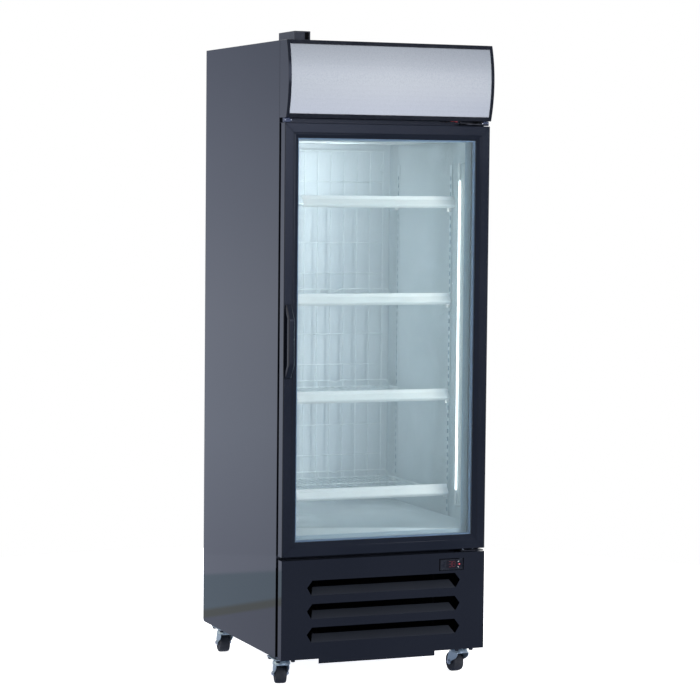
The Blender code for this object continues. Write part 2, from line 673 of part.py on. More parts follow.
# ---------------------------------------------------------------- machinery
def finned_block(x, y, z, fins, tube=0.005):
    """A coil block: fins as a comb along X on a common base, with tube bends out of each end."""
    pitch = (x[1] - x[0]) / (2 * fins - 1)
    outline = [(x[0], z[0])]
    for fin in range(fins):
        left = x[0] + 2 * fin * pitch
        outline += [(left, z[1]), (left + pitch, z[1])]
        if fin < fins - 1:
            outline += [(left + pitch, z[0] + 0.01), (left + 2 * pitch, z[0] + 0.01)]
    outline.append((x[1], z[0]))
    rows = int((z[1] - z[0]) / 0.07)
    middle = (y[0] + y[1]) / 2
    tubes = []
    for row in range(rows):
        centre = (middle, z[0] + 0.035 + 0.07 * row)
        tubes.append(cylinder("X", centre, tube, x[0] - 0.012, x[0] + pitch / 2, 8))
        tubes.append(cylinder("X", centre, tube, x[1] - pitch / 2, x[1] + 0.012, 8))
    return combined("coil", prism("Y", outline, *y), tubes)


def fan_blade(radius, hub_radius, depth, blades):
    """An axial fan rotor about Y: a hub with pitched blades."""
    hub = cylinder("Y", (0, 0), hub_radius, -depth / 2, depth / 2, 24)
    shapes = []
    for i in range(blades):
        angle = 2 * math.pi * i / blades
        root, tip = hub_radius * 0.6, radius
        outline = [(root, -0.20 * radius), (0.55 * radius, -0.30 * radius), (0.9 * tip, -0.32 * radius),
                   (0.98 * tip, -0.1 * radius), (0.93 * tip, 0.18 * radius), (0.5 * radius, 0.26 * radius),
                   (root, 0.12 * radius)]
        blade = prism("Y", outline, -0.0008, 0.0008)
        pitch = Matrix.Rotation(math.radians(24), 4, "X")
        shapes.append(moved(blade, Matrix.Rotation(angle, 4, "Y") @ pitch))
    return combined("rotor", hub, shapes)


def build_condensing_unit(mats, origin):
    """Compressor, condenser coil and its fan, in the compartment under the food deck."""
    add_node("condenser_coil", finned_block(CONDENSER_X, CONDENSER_Y, CONDENSER_Z, 14),
             mats["aluminium"], origin)

    plate = box((-BAFFLE_HALF, BAFFLE_HALF), (BAFFLE_Y, BAFFLE_Y + BAFFLE_SHEET), BAFFLE_Z)
    opening = cylinder("Y", (0, FAN_Z), FAN_HOLE, BAFFLE_Y - 0.01, BAFFLE_Y + 0.01, 32)
    baffle = shape_from(combined("baffle", plate, cuts=[opening]))
    motor_radius, motor_front, motor_back = FAN_MOTOR
    motor = cylinder("Y", (0, FAN_Z), motor_radius, motor_front, motor_back, 24)
    reach, half, thick = MOTOR_BAR
    bar_z = (FAN_Z - half, FAN_Z + half)
    bar = box((-reach, reach), (motor_front, motor_front + thick), bar_z)
    leg_y = (BAFFLE_Y + BAFFLE_SHEET / 3, motor_front + thick / 2)
    legs = [box(sorted((s * (reach - thick), s * reach)), leg_y, bar_z) for s in (-1, 1)]
    add_node("condenser_fan_motor", combined("fan_frame", baffle, [bar, motor, *legs]),
             mats["black_steel"], origin)
    add_node("condenser_fan_blade", fan_blade(FAN_RADIUS, 0.022, 0.020, 5), mats["aluminium"], origin,
             at=(0, FAN_FRONT_Y, FAN_Z))

    (base, top), radius = COMPRESSOR_Z, COMPRESSOR_RADIUS
    seam = base + 0.085
    outline = [(0, base), (radius * 0.8, base), (radius, base + 0.02), (radius, seam),
               (radius + 0.003, seam + 0.003), (radius + 0.003, seam + 0.011), (radius, seam + 0.014),
               (radius, top - 0.055), (radius * 0.93, top - 0.028), (radius * 0.75, top - 0.010),
               (radius * 0.4, top - 0.001), (0, top)]
    dome = turned("Z", COMPRESSOR_AT, outline, 24)
    x, y = COMPRESSOR_AT
    feet = box((x - 0.105, x + 0.105), (y - 0.07, y + 0.07), (base - 0.002, base + 0.001))
    terminal = box((x - 0.115, x - 0.07), (y - 0.03, y + 0.03), (base + 0.03, base + 0.09))
    add_node("compressor", combined("compressor", dome, [feet, terminal]), mats["compressor_black"],
             origin)


def build_evaporator(mats, origin):
    """The cold coil and its fan above a tray at the top of the food compartment."""
    t = TRAY_SHEET
    (front, rear), bottom, top = TRAY_Y, TRAY_Z, CEILING_Z - 0.004
    outline = [(front, bottom), (rear, bottom), (rear, bottom + t), (front + t, bottom + t),
               (front + t, top), (front, top)]
    tray = prism("X", outline, -TRAY_HALF, TRAY_HALF)
    through = (bottom - 0.01, bottom + 0.01)
    inlet = cylinder("Z", (0, COLD_FAN_Y), COLD_FAN_RADIUS + 0.006, *through, 28)
    length, pitch, slot_y = AIR_SLOT
    outlets = [box((i * pitch - length / 2, i * pitch + length / 2), slot_y, through) for i in (-1, 0, 1)]
    add_node("evaporator_cover", combined("tray", tray, cuts=[inlet, *outlets]), mats["white_plastic"],
             origin)
    add_node("evaporator_coil", finned_block(*COLD_COIL, 12), mats["aluminium"], origin)

    radius, low, high = COLD_MOTOR
    motor = cylinder("Z", (0, COLD_FAN_Y), radius, low, high, 20)
    reach, half, thick = COLD_BAR
    bar_y = (COLD_FAN_Y - half, COLD_FAN_Y + half)
    bar = box((-reach, reach), bar_y, (low - thick * 0.6, low + thick * 0.4))
    legs = [box(sorted((s * (reach - thick), s * reach)), bar_y, (bottom + t + GAP, low)) for s in (-1, 1)]
    add_node("evaporator_fan_motor", combined("fan_motor", motor, [bar, *legs]), mats["black_plastic"],
             origin)
    rotor = fan_blade(COLD_FAN_RADIUS, 0.014, 0.014, 5)
    upright = Matrix.Rotation(math.radians(90), 4, "X")
    add_node("evaporator_fan_blade", moved(shape_from(rotor), upright), mats["black_plastic"], origin,
             at=(0, COLD_FAN_Y, COLD_FAN_Z))


# ---------------------------------------------------------------- shelves and lights
def even_bars(half, count, width):
    return [(-half + 2 * half * i / (count - 1), width) for i in range(count)]


def build_shelves(mats, origin):
    """Wire shelves with a raised rear lip, each with a price strip clipped along its front."""
    wire = SHELF_WIRE
    reach = SHELF_HALF - wire / 2
    rows = [(y, wire) for y in (SHELF_Y[0] + wire / 2, 0.255, 0.420, SHELF_Y[1] - wire / 2)]
    deck = lattice("Z", even_bars(reach, SHELF_WIRES, wire), rows, -wire / 2, wire / 2)
    lip = lattice("Y", even_bars(reach - 0.01, 3, wire), [(0, wire / 2), (SHELF_LIP, wire)],
                  SHELF_Y[1] - wire + 0.0005, SHELF_Y[1] - 0.0005)
    shelf = combined("shelf", deck, [lip])

    t = 0.0015
    front = [(0.0916, 0.031), (0.0815, 0.031), (0.0815, 0.020), (0.0705, 0.005), (0.0710, 0.001),
             (0.0800, -0.006)]
    back = [(0.0812, -0.006 + t), (0.0726, 0.0016), (0.0722, 0.0045), (0.0830, 0.0195),
            (0.0830, 0.031 - t), (0.0916, 0.031 - t)]
    strip = mesh_of("price_strip", prism("X", front + back, -STRIP_LENGTH / 2, STRIP_LENGTH / 2))
    for i in range(SHELVES):
        z = SHELF_Z - i * SHELF_PITCH
        add_node(f"wire_shelf_{i + 1}", shelf, mats["white_wire"], origin, at=(0, 0, z))
        add_node(f"price_strip_{i + 1}", strip, mats["white_plastic"], origin, at=(STRIP_CENTRES[i], 0, z))


def build_wire_guard(mats, origin):
    """The wire panel that keeps goods off the back wall, on four short stand-offs."""
    rows = [(GUARD_TOP - bay * SHELF_PITCH - drop, GUARD_WIRE)
            for bay in range(GUARD_BAYS) for drop in (0, GUARD_PAIR)]
    rows = sorted(rows + [(GUARD_BOTTOM, GUARD_WIRE)])
    columns = even_bars(GUARD_HALF, GUARD_WIRES, GUARD_WIRE)
    front = GUARD_Y - GUARD_WIRE / 2
    grid = lattice("Y", columns, rows, front, front + GUARD_WIRE)
    stands = [box((x - 0.0012, x + 0.0012), (GUARD_Y, LINER_BACK - GAP), (z - 0.0012, z + 0.0012))
              for x in (columns[0][0], columns[-1][0]) for z in (rows[0][0], rows[-1][0])]
    add_node("rear_wire_guard", combined("guard", grid, stands), mats["white_wire"], origin)


def build_led_strips(mats, origin):
    """A light bar up each front corner of the food compartment."""
    wall = LINER_HALF - GAP
    for name, sign in (("left", -1), ("right", 1)):
        outline = [(wall, 0.018), (wall - 0.0045, 0.018), (wall - 0.013, 0.034), (wall - 0.013, 0.046),
                   (wall - 0.0045, 0.066), (wall, 0.066)]
        outline = [(sign * x, y) for x, y in outline]
        add_node(f"light_bar_{name}", prism("Z", outline, 0.543, 1.634), mats["white_plastic"], origin)


# ---------------------------------------------------------------- casters
def caster_plate():
    """Top plate with the fixed half of the ball race under it."""
    half_x, half_y, t = CASTER_PLATE[0] / 2, CASTER_PLATE[1] / 2, CASTER_PLATE[2]
    under = CASTER_TOP - t
    plate = prism("Z", rounded_rectangle(half_x, half_y, 0.008), under, CASTER_TOP)
    race = cylinder("Z", (0, 0), CROWN_RADIUS - 0.002, under - RACE_HEIGHT, under + 0.001)
    return combined("caster_plate", plate, [race])


def caster_fork():
    """Swivelling fork: a race cup and two legs that trail back to the axle. Origin on the swivel."""
    top = CASTER_TOP - CASTER_PLATE[2] - RACE_HEIGHT - GAP
    crown = cylinder("Z", (0, 0), CROWN_RADIUS, top - 0.0115, top)
    inner = WHEEL_WIDTH / 2 + 0.0015
    outer = inner + LEG_SHEET
    reach = CROWN_RADIUS - 0.003
    bridge = box((-outer, outer), (-reach, reach), (top - 0.014, top - 0.0105))
    foot = circle((TRAIL, WHEEL_RADIUS), 0.009, 16)[8:]
    outline = [(-reach, top - 0.011), (-reach, top - 0.018), *foot, (TRAIL + 0.009, WHEEL_RADIUS + 0.008),
               (TRAIL + 0.004, top - 0.022), (reach, top - 0.011)]
    end = outer + 0.0055
    axle = cylinder("X", (TRAIL, WHEEL_RADIUS), AXLE_RADIUS, -end, end)
    sides = []
    for side in (-1, 1):
        sides.append(prism("X", outline, *sorted((side * inner, side * outer))))
        nut_x = sorted((side * (inner + LEG_SHEET / 2), side * end))
        sides.append(cylinder("X", (TRAIL, WHEEL_RADIUS), AXLE_NUT_RADIUS, *nut_x, 12))
    return combined("caster_fork", crown, [bridge, axle, *sides])


def caster_wheel():
    """Crowned wheel with a bore, its origin at its centre and its axle along X."""
    half, bore = WHEEL_WIDTH / 2, AXLE_RADIUS + PIN_CLEARANCE
    r = WHEEL_RADIUS
    profile = [(bore, -half), (0.011, -half), (0.013, -half + 0.003), (r - 0.007, -half + 0.002),
               (r - 0.0018, -half + 0.0045), (r, -half + 0.0105)]
    profile += [(radius, -along) for radius, along in reversed(profile)]
    return turned("X", (0, 0), profile, 24)


def build_casters(mats, origin):
    plate, fork = caster_plate(), caster_fork()
    wheel = mesh_of("caster_wheel", caster_wheel())
    for name, yaw in CASTER_YAW.items():
        end, side = name.split("_")
        x = CASTER_X[end] * (-1 if side == "left" else 1)
        swivel = add_empty(f"swivel_{name}", (x, CASTER_Y[end], 0), origin)
        add_node(f"caster_plate_{name}", plate, mats["zinc"], origin, at=swivel.location)
        swivel.rotation_euler.z = math.radians(yaw)
        add_node(f"caster_fork_{name}", fork, mats["zinc"], swivel)
        add_node(f"caster_wheel_{name}", wheel, mats["rubber"], swivel, at=(0, TRAIL, WHEEL_RADIUS))


def main():
    for existing in list(bpy.data.objects):
        bpy.data.objects.remove(existing)
    mats = make_materials()
    origin = add_empty("cabinet_origin", (0, CABINET_FRONT, 0))
    for build in (build_shell, build_insulated_box, build_roof_box, build_canopy, build_door,
                  build_hinges, build_grille, build_controller, build_condensing_unit,
                  build_evaporator, build_shelves, build_wire_guard, build_led_strips, build_casters):
        build(mats, origin)


main()
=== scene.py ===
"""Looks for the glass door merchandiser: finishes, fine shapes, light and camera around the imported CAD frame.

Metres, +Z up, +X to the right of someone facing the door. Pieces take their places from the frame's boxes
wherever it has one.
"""

import json
import math

import bmesh
import bpy
from mathutils import Matrix, Vector

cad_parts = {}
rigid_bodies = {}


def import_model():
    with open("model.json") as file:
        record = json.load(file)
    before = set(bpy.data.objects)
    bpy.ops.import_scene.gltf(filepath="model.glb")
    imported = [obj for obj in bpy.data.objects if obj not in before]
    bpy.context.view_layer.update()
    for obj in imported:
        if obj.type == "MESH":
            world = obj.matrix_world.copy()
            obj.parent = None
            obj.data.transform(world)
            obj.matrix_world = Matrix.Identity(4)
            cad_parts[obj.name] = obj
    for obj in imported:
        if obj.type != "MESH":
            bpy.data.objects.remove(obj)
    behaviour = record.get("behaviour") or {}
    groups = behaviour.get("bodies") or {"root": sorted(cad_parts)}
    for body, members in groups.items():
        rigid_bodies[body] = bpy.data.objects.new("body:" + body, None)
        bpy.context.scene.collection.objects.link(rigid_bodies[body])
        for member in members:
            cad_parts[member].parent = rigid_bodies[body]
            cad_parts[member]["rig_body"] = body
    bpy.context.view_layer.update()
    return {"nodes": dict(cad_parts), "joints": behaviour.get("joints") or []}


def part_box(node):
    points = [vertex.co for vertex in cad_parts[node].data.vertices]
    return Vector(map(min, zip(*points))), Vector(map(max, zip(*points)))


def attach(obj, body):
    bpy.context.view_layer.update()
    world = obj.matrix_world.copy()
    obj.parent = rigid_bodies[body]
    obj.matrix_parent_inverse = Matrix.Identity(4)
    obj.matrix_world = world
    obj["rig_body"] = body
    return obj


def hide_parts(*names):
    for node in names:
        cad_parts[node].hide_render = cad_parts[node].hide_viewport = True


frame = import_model()
scene = bpy.context.scene
UP = Vector((0, 0, 1))
WHITE = (1, 1, 1, 1)
SIDES = (-1, 1)
CORNERS = ("front_left", "front_right", "rear_left", "rear_right")
SHELVES = (1, 2, 3, 4)


# ---- camera, light and floor
def aim_matrix(yaw, pitch, roll):
    """Camera axes for a yaw towards +X from +Y, a pitch above level and a roll, in degrees."""
    yaw, pitch, roll = (math.radians(angle) for angle in (yaw, pitch, roll))
    ahead = Vector((math.sin(yaw) * math.cos(pitch), math.cos(yaw) * math.cos(pitch), math.sin(pitch)))
    level = Vector((math.cos(yaw), -math.sin(yaw), 0))
    above = level.cross(ahead)
    right = level * math.cos(roll) + above * math.sin(roll)
    up = above * math.cos(roll) - level * math.sin(roll)
    return Matrix((right, up, -ahead)).transposed().to_4x4()


def put(name, data):
    """A new object of the scene."""
    item = bpy.data.objects.new(name, data)
    scene.collection.objects.link(item)
    return item


def add_camera():
    data = bpy.data.cameras.new("camera")
    data.lens = 126.3
    data.sensor_width = 36
    data.clip_end = 60
    scene.camera = put("camera", data)
    place = Matrix.Translation((-2.9805, -7.3651, 1.5605))
    scene.camera.matrix_world = place @ aim_matrix(22.173, -3.837, 0.561)


def add_area(name, at, aim, size, power, colour=(1, 1, 1), spread=180):
    data = bpy.data.lights.new(name, "AREA")
    data.shape = "RECTANGLE"
    data.size, data.size_y = size
    data.energy = power
    data.color = colour
    data.spread = math.radians(spread)
    light = put(name, data)
    light.location = at
    light.rotation_euler = (Vector(aim) - Vector(at)).to_track_quat("-Z", "Y").to_euler()
    light.visible_camera = False
    light.visible_glossy = False


def add_studio():
    """White surroundings. Where they mirror in the door and in the left side they are darker and bluer."""
    scene.view_settings.view_transform = "Standard"
    world = bpy.data.worlds.new("studio")
    scene.world = world
    world.use_nodes = True
    world.node_tree.nodes.clear()
    sky = Nodes(world.node_tree)
    toward = sky.add("ShaderNodeTexCoord").outputs["Generated"]
    height = sky.add("ShaderNodeSeparateXYZ", Vector=toward).outputs["Z"]
    mirrored = sky.add("ShaderNodeLightPath").outputs["Is Glossy Ray"]
    front, window, side = (0.39, -0.92, -0.05), (0.206, -0.969, 0.139), (-0.377, 0.926, -0.06)
    dark = sky.spread(mirrored, sky.beam(toward, front, 58, 34), sky.beam(toward, front, 100, 66), 0, 1)
    colour = sky.blend(dark, WHITE, (0.17, 0.22, 0.36, 1))
    colour = sky.blend(sky.beam(toward, window, 15, 9), colour, (1.1, 1.25, 1.8, 1))
    colour = sky.blend(sky.beam(toward, window, 7, 4), colour, (5, 5.4, 6.5, 1))
    wall = sky.ramp(height, ((-0.165, (0.58, 0.63, 0.81)), (-0.1, (0.75, 0.83, 1.03)),
                             (-0.052, (0.76, 0.83, 1.02)), (0.012, (0.59, 0.65, 0.83)),
                             (0.06, (0.44, 0.49, 0.64)), (0.3, (0.9, 0.9, 1))), -0.25, 0.35)
    colour = sky.blend(sky.beam(toward, side, 40, 24), colour, wall)
    lit = sky.add("ShaderNodeBackground", Color=colour)
    plain = sky.add("ShaderNodeBackground", Color=WHITE)
    seen = sky.add("ShaderNodeLightPath").outputs["Is Camera Ray"]
    sky.feed(sky.mix(seen, lit, plain), sky.add("ShaderNodeOutputWorld").inputs["Surface"])
    add_area("key", (-3, -3.5, 4.2), (0, 0, 1), (3, 3), 40)
    add_area("fill", (2.4, -4.2, 1.7), (-0.2, 0.2, 1.1), (2.2, 2.2), 250, (1, 0.94, 0.87))
    low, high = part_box("light_bar_right")
    shelf_low, shelf_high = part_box("wire_shelf_1")
    at = Vector((low.x - 0.004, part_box("price_strip_1")[1].y + 0.004, (low.z + high.z) / 2))
    size = (0.012, high.z - low.z - 0.1)
    add_area("bar_glow", at, at + Vector((-0.62, 0.78, 0)), size, 0.95, (1, 0.98, 0.95), 105)
    at = Vector((-0.1, shelf_low.y + 0.03, shelf_high.z + 0.025))
    add_area("top_glow", at, at + Vector((-0.05, 0.45, 0.12)), (0.3, 0.03), 0.66, (0.97, 0.99, 1), 105)
    add_floor()


def add_floor():
    """A pale round floor. Mirrored, it shows as grey with three bands across it."""
    reach, steps = 2.6, 64
    mesh = bpy.data.meshes.new("floor")
    mesh.from_pydata(circle((0, 0, 0), reach, steps), [], [tuple(range(steps))])
    floor = put("floor", mesh)
    tree = Tree("floor_paint")
    pale = tree.blend(tree.noise(0.6, 2), rgb(236, 237, 239), rgb(244, 244, 245))
    tree.set(Base_Color=pale, Roughness=0.9)
    seen = tree.add("ShaderNodeLightPath").outputs["Is Camera Ray"]
    tree.set(Emission_Color=WHITE, Emission_Strength=tree.spread(seen, 0, 0.84, 0, 1))
    spot = tree.add("ShaderNodeSeparateXYZ", Vector=tree.place)
    depth = spot.outputs["Y"]
    slant = tree.math("MULTIPLY_ADD", spot.outputs["X"], 0.42, depth)
    bands = tree.ramp(depth, ((-0.35, (0.17, 0.22, 0.36)), (0.3, (0.44, 0.48, 0.62))), -0.5, 2.5)
    for value, start, end, colour in ((slant, 0.699, 0.739, (0.4, 0.43, 0.43, 1)),
                                      (slant, 0.828, 0.888, (0.46, 0.58, 0.72, 1)),
                                      (depth, 1.84, 1.92, (0.65, 0.71, 0.9, 1))):
        bands = tree.blend(tree.spread(value, 0, 1, start, end), bands, colour)
    mirrored = tree.add("ShaderNodeEmission", Color=bands)
    tree.feed(tree.mix(seen, mirrored, tree.shader), tree.output.inputs["Surface"])
    floor.data.materials.append(tree.material)


# ---- finishes
def rgb(red, green, blue):
    """A colour given in display values from 0 to 255, as linear light."""
    linear = []
    for value in (red, green, blue):
        v = value / 255
        linear.append(v / 12.92 if v <= 0.04045 else ((v + 0.055) / 1.055) ** 2.4)
    return (*linear, 1)


class Nodes:
    """Short names for building a node tree."""

    def __init__(self, tree):
        self.tree = tree

    def add(self, kind, **inputs):
        node = self.tree.nodes.new(kind)
        for key, value in inputs.items():
            self.feed(value, node.inputs[key.replace("_", " ")])
        return node

    def feed(self, value, socket):
        if isinstance(value, bpy.types.NodeSocket):
            self.tree.links.new(value, socket)
        else:
            socket.default_value = value

    def outputs(self, kind, values, **settings):
        """The outputs of a new node. values are (input number, value) pairs."""
        node = self.tree.nodes.new(kind)
        for key, setting in settings.items():
            setattr(node, key, setting)
        for index, value in values:
            self.feed(value, node.inputs[index])
        return node.outputs

    def spread(self, value, low, high, start=0.3, end=0.7, ease="LINEAR"):
        """Maps start..end of the value to low..high."""
        values = enumerate((value, start, end, low, high))
        return self.outputs("ShaderNodeMapRange", values, interpolation_type=ease)[0]

    def blend(self, share, first, second, kind="MIX"):
        """A colour between the first and the second."""
        values = ((0, share), (6, first), (7, second))
        return self.outputs("ShaderNodeMix", values, data_type="RGBA", blend_type=kind)[2]

    def mix(self, share, first, second):
        """A surface that is the first shader where the share is 0 and the second where it is 1."""
        return self.outputs("ShaderNodeMixShader", enumerate((share, first.outputs[0], second.outputs[0])))[0]

    def math(self, operation, *values):
        return self.outputs("ShaderNodeMath", enumerate(values), operation=operation)[0]

    def ramp(self, value, stops, low, high):
        """A colour for the value, from (value, colour) stops between low and high."""
        node = self.tree.nodes.new("ShaderNodeValToRGB")
        elements = node.color_ramp.elements
        while len(elements) < len(stops):
            elements.new(0.5)
        for element, (at, colour) in zip(elements, stops):
            element.position = (at - low) / (high - low)
            element.color = (*colour, 1)
        self.feed(self.spread(value, 0, 1, low, high), node.inputs["Fac"])
        return node.outputs["Color"]

    def beam(self, direction, centre, outer, inner):
        """1 within the inner angle of the centre direction, easing to 0 at the outer angle, in degrees."""
        values = enumerate((direction, Vector(centre).normalized()))
        likeness = self.outputs("ShaderNodeVectorMath", values, operation="DOT_PRODUCT")["Value"]
        edges = (math.cos(math.radians(angle)) for angle in (outer, inner))
        return self.spread(likeness, 0, 1, *edges, "SMOOTHSTEP")


class Tree(Nodes):
    """One material's nodes, with its object coordinates at hand."""

    def __init__(self, name):
        self.material = bpy.data.materials.new(name)
        self.material.use_nodes = True
        super().__init__(self.material.node_tree)
        self.shader = self.tree.nodes["Principled BSDF"]
        self.output = self.tree.nodes["Material Output"]
        self.place = self.tree.nodes.new("ShaderNodeTexCoord").outputs["Object"]

    def noise(self, scale, detail=2, stretch=(1, 1, 1)):
        spot = self.add("ShaderNodeMapping", Vector=self.place, Scale=stretch).outputs[0]
        return self.add("ShaderNodeTexNoise", Vector=spot, Scale=scale, Detail=detail).outputs["Fac"]

    def set(self, **inputs):
        for key, value in inputs.items():
            self.feed(value, self.shader.inputs[key.replace("_", " ")])

    def roughen(self, strength, depth, height):
        """Fine relief of that depth where the height value changes."""
        bump = self.add("ShaderNodeBump", Strength=strength, Distance=depth, Height=height)
        self.set(Normal=bump.outputs[0])


def finish(name, colour, second, patch, roughness, metallic, grain, bump, stretch=(1, 1, 1), depth=0.0002,
           ior=1.5, emission=None, worn=None):
    """Colour and roughness that drift between two values, over a fine grain.

    Edges are rubbed towards the worn colour where there is one.
    """
    tree = Tree(name)
    drift = tree.noise(patch, 3, stretch)
    fine = tree.noise(grain, 2, stretch)
    shade = tree.blend(tree.spread(drift, 0, 1), rgb(*colour), rgb(*second))
    if worn:
        edge = tree.spread(tree.add("ShaderNodeNewGeometry").outputs["Pointiness"], 0, 0.8, 0.52, 0.62)
        rubbed = tree.math("MULTIPLY", edge, tree.spread(tree.noise(patch * 14, 4), 0.1, 1, 0.42, 0.62))
        shade = tree.blend(rubbed, shade, rgb(*worn))
    matt = tree.spread(tree.blend(0.5, drift, fine), *roughness)
    tree.set(Base_Color=shade, Roughness=matt, Metallic=metallic, IOR=ior)
    tree.roughen(bump, depth, fine)
    if emission:
        tree.set(Emission_Color=rgb(*emission[0]), Emission_Strength=emission[1])
    return tree.material


def glass_finish():
    """Clear panes with a faint green-blue tint and the mirror gloss of both faces."""
    tree = Tree("clear_glass")
    smear = tree.noise(3, 4)
    clear = tree.add("ShaderNodeBsdfTransparent", Color=(0.965, 0.98, 0.984, 1))
    tree.set(Base_Color=rgb(210, 228, 232), Roughness=tree.spread(smear, 0.02, 0.05), IOR=1.5)
    facing = tree.add("ShaderNodeFresnel", IOR=1.5).outputs[0]
    tree.feed(tree.mix(facing, clear, tree.shader), tree.output.inputs["Surface"])
    return tree.material


def spangled_finish():
    """Galvanised sheet: crystals of slightly different grey."""
    tree = Tree("galvanised_sheet")
    crystals = tree.add("ShaderNodeTexVoronoi", Vector=tree.place, Scale=90)
    shade = tree.spread(crystals.outputs["Color"], 0, 1, 0, 1)
    tree.set(Base_Color=tree.blend(shade, rgb(150, 155, 158), rgb(186, 190, 192)), Metallic=0.9,
             Roughness=tree.spread(shade, 0.36, 0.52, 0, 1))
    return tree.material


def sign_finish():
    """Translucent sign sheet, with painted shade: its colour is darker along its top and right edges."""
    low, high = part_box("sign_face")
    tree = Tree("sign_sheet_painted_shade")
    spot = tree.add("ShaderNodeSeparateXYZ", Vector=tree.place)
    # Painted shade: the colour falls off towards the top edge and towards the right edge.
    shade_by_height = tree.ramp(spot.outputs["Z"], ((low.z, (0.98, 0.97, 1)), (low.z + 0.11, (0.81, 0.81, 0.81)),
                                         (low.z + 0.15, (0.75, 0.75, 0.75)), (high.z, (0.57, 0.575, 0.585))),
                     low.z, high.z)
    shade_by_width = tree.ramp(spot.outputs["X"], ((low.x, (1, 1, 1)), (0, (0.98, 0.98, 0.98)),
                                           (high.x, (0.82, 0.83, 0.85))), low.x, high.x)
    base = tree.blend(tree.noise(2), rgb(167, 174, 182), rgb(171, 178, 185))
    shade = tree.blend(1, tree.blend(1, shade_by_height, shade_by_width, "MULTIPLY"), base, "MULTIPLY")
    grain = tree.noise(500)
    tree.set(Base_Color=shade, Roughness=tree.spread(grain, 0.24, 0.32), IOR=1.5)
    tree.roughen(0.03, 0.0002, grain)
    return tree.material


look = {
    "panel": finish("black_powder_coat", (17, 19, 25), (21, 23, 29), 2.5, (0.035, 0.06), 0, 700, 0.02,
        depth=0.00005, ior=1.5),
    "frame": finish("black_frame_coat", (14, 17, 24), (18, 21, 28), 5, (0.12, 0.18), 0, 1400, 0.05,
        depth=0.00006),
    "plastic": finish("black_moulding", (12, 13, 17), (17, 18, 22), 9, (0.24, 0.34), 0, 1600, 0.16,
        depth=0.00008, worn=(44, 46, 52)),
    "liner": finish("white_liner_gloss", (214, 222, 227), (220, 228, 232), 3, (0.22, 0.32), 0, 700, 0.04,
        depth=0.0001),
    "wire": finish("white_epoxy_wire", (226, 236, 238), (236, 242, 243), 30, (0.22, 0.34), 0, 900, 0.1),
    "white": finish("white_strip_plastic", (243, 244, 242), (248, 248, 246), 12, (0.2, 0.3), 0, 1200, 0.05),
    "glass": glass_finish(),
    "sign": sign_finish(),
    "spacer": finish("edge_seal", (84, 110, 142), (94, 120, 152), 12, (0.35, 0.5), 0.2, 500, 0.1),
    "gasket": finish("gasket_rubber", (30, 31, 34), (38, 39, 42), 20, (0.55, 0.7), 0, 900, 0.2),
    "seal_inside": finish("pale_seal", (127, 144, 157), (136, 152, 165), 20, (0.5, 0.6), 0, 900, 0.1),
    "breaker": finish("breaker_strip", (167, 185, 199), (175, 192, 205), 8, (0.35, 0.45), 0, 900, 0.05),
    # Flat black: the condenser's and its shroud's own black paint, and painted shade in gaps, in the roof box's
    # front and along the controller's recess.
    "cavity": finish("black_paint_and_painted_shade", (6, 6, 8), (9, 9, 11), 14, (0.85, 0.95), 0, 500, 0.1, ior=1.2),
    # Louvre blade fronts: a matter, slightly lighter copy of the panel coat, painted light so they show as
    # light as the panel.
    "louvre_lit_copy": finish("louvre_face_painted_light", (24, 27, 33), (27, 30, 36), 4, (0.5, 0.6), 0, 900, 0.05),
    "lug": finish("lug_coat", (40, 50, 74), (46, 56, 80), 30, (0.3, 0.4), 0.1, 900, 0.1),
    "tread": finish("wheel_rubber", (34, 35, 38), (48, 49, 52), 60, (0.5, 0.68), 0, 1400, 0.25,
        worn=(78, 79, 82)),
    "hub": finish("wheel_core", (58, 60, 64), (68, 70, 73), 50, (0.4, 0.5), 0, 1200, 0.15),
    "zinc": finish("bright_zinc", (172, 190, 194), (188, 204, 206), 40, (0.34, 0.46), 0.7, 900, 0.12,
        worn=(228, 233, 236)),
    "galvanised": spangled_finish(),
    "fins": finish("aluminium_fins", (176, 179, 182), (196, 198, 200), 30, (0.3, 0.42), 0.9, 900, 0.15,
        stretch=(1, 1, 8)),
    "copper": finish("copper_tube", (176, 108, 78), (196, 124, 90), 40, (0.25, 0.4), 0.95, 600, 0.1),
    "shell": finish("compressor_enamel", (20, 20, 23), (28, 28, 31), 14, (0.25, 0.36), 0.1, 500, 0.2,
        worn=(60, 60, 64)),
    "bolt": finish("blackened_bolt", (26, 27, 30), (36, 37, 40), 60, (0.35, 0.5), 0.6, 1500, 0.2,
        worn=(120, 122, 126)),
    "rivet": finish("bright_rivet", (206, 210, 214), (222, 225, 228), 60, (0.2, 0.3), 0.85, 1500, 0.1),
    "red": finish("red_lens", (190, 70, 78), (202, 82, 88), 200, (0.18, 0.28), 0, 900, 0.05,
        emission=((206, 84, 94), 0.16)),
    "digits": finish("dim_digits", (66, 22, 27), (74, 26, 31), 200, (0.3, 0.4), 0, 900, 0.02,
        emission=((150, 30, 40), 0.03)),
    "screen": finish("smoked_window", (18, 16, 19), (24, 21, 24), 60, (0.1, 0.16), 0, 900, 0.02),
    "mark": finish("pale_print", (188, 194, 196), (200, 205, 206), 200, (0.4, 0.5), 0, 900, 0.05),
    "lamp": finish("lit_diffuser", (250, 252, 255), (245, 250, 255), 60, (0.4, 0.5), 0, 900, 0.02,
        emission=((252, 253, 255), 2.5)),
    # Slots of the shelf standards: painted shade standing in for the holes.
    "dark": finish("slot_painted_shade", (136, 152, 163), (144, 160, 171), 60, (0.6, 0.8), 0, 900, 0.05),
    "foam": finish("foam_block", (225, 214, 170), (232, 222, 182), 60, (0.85, 0.95), 0, 900, 0.4),
}


# ---- shape helpers
def circle(centre, radius, steps):
    """Points of a level circle."""
    turns = (2 * math.pi * k / steps for k in range(steps))
    return [(centre[0] + radius * math.cos(a), centre[1] + radius * math.sin(a), centre[2]) for a in turns]


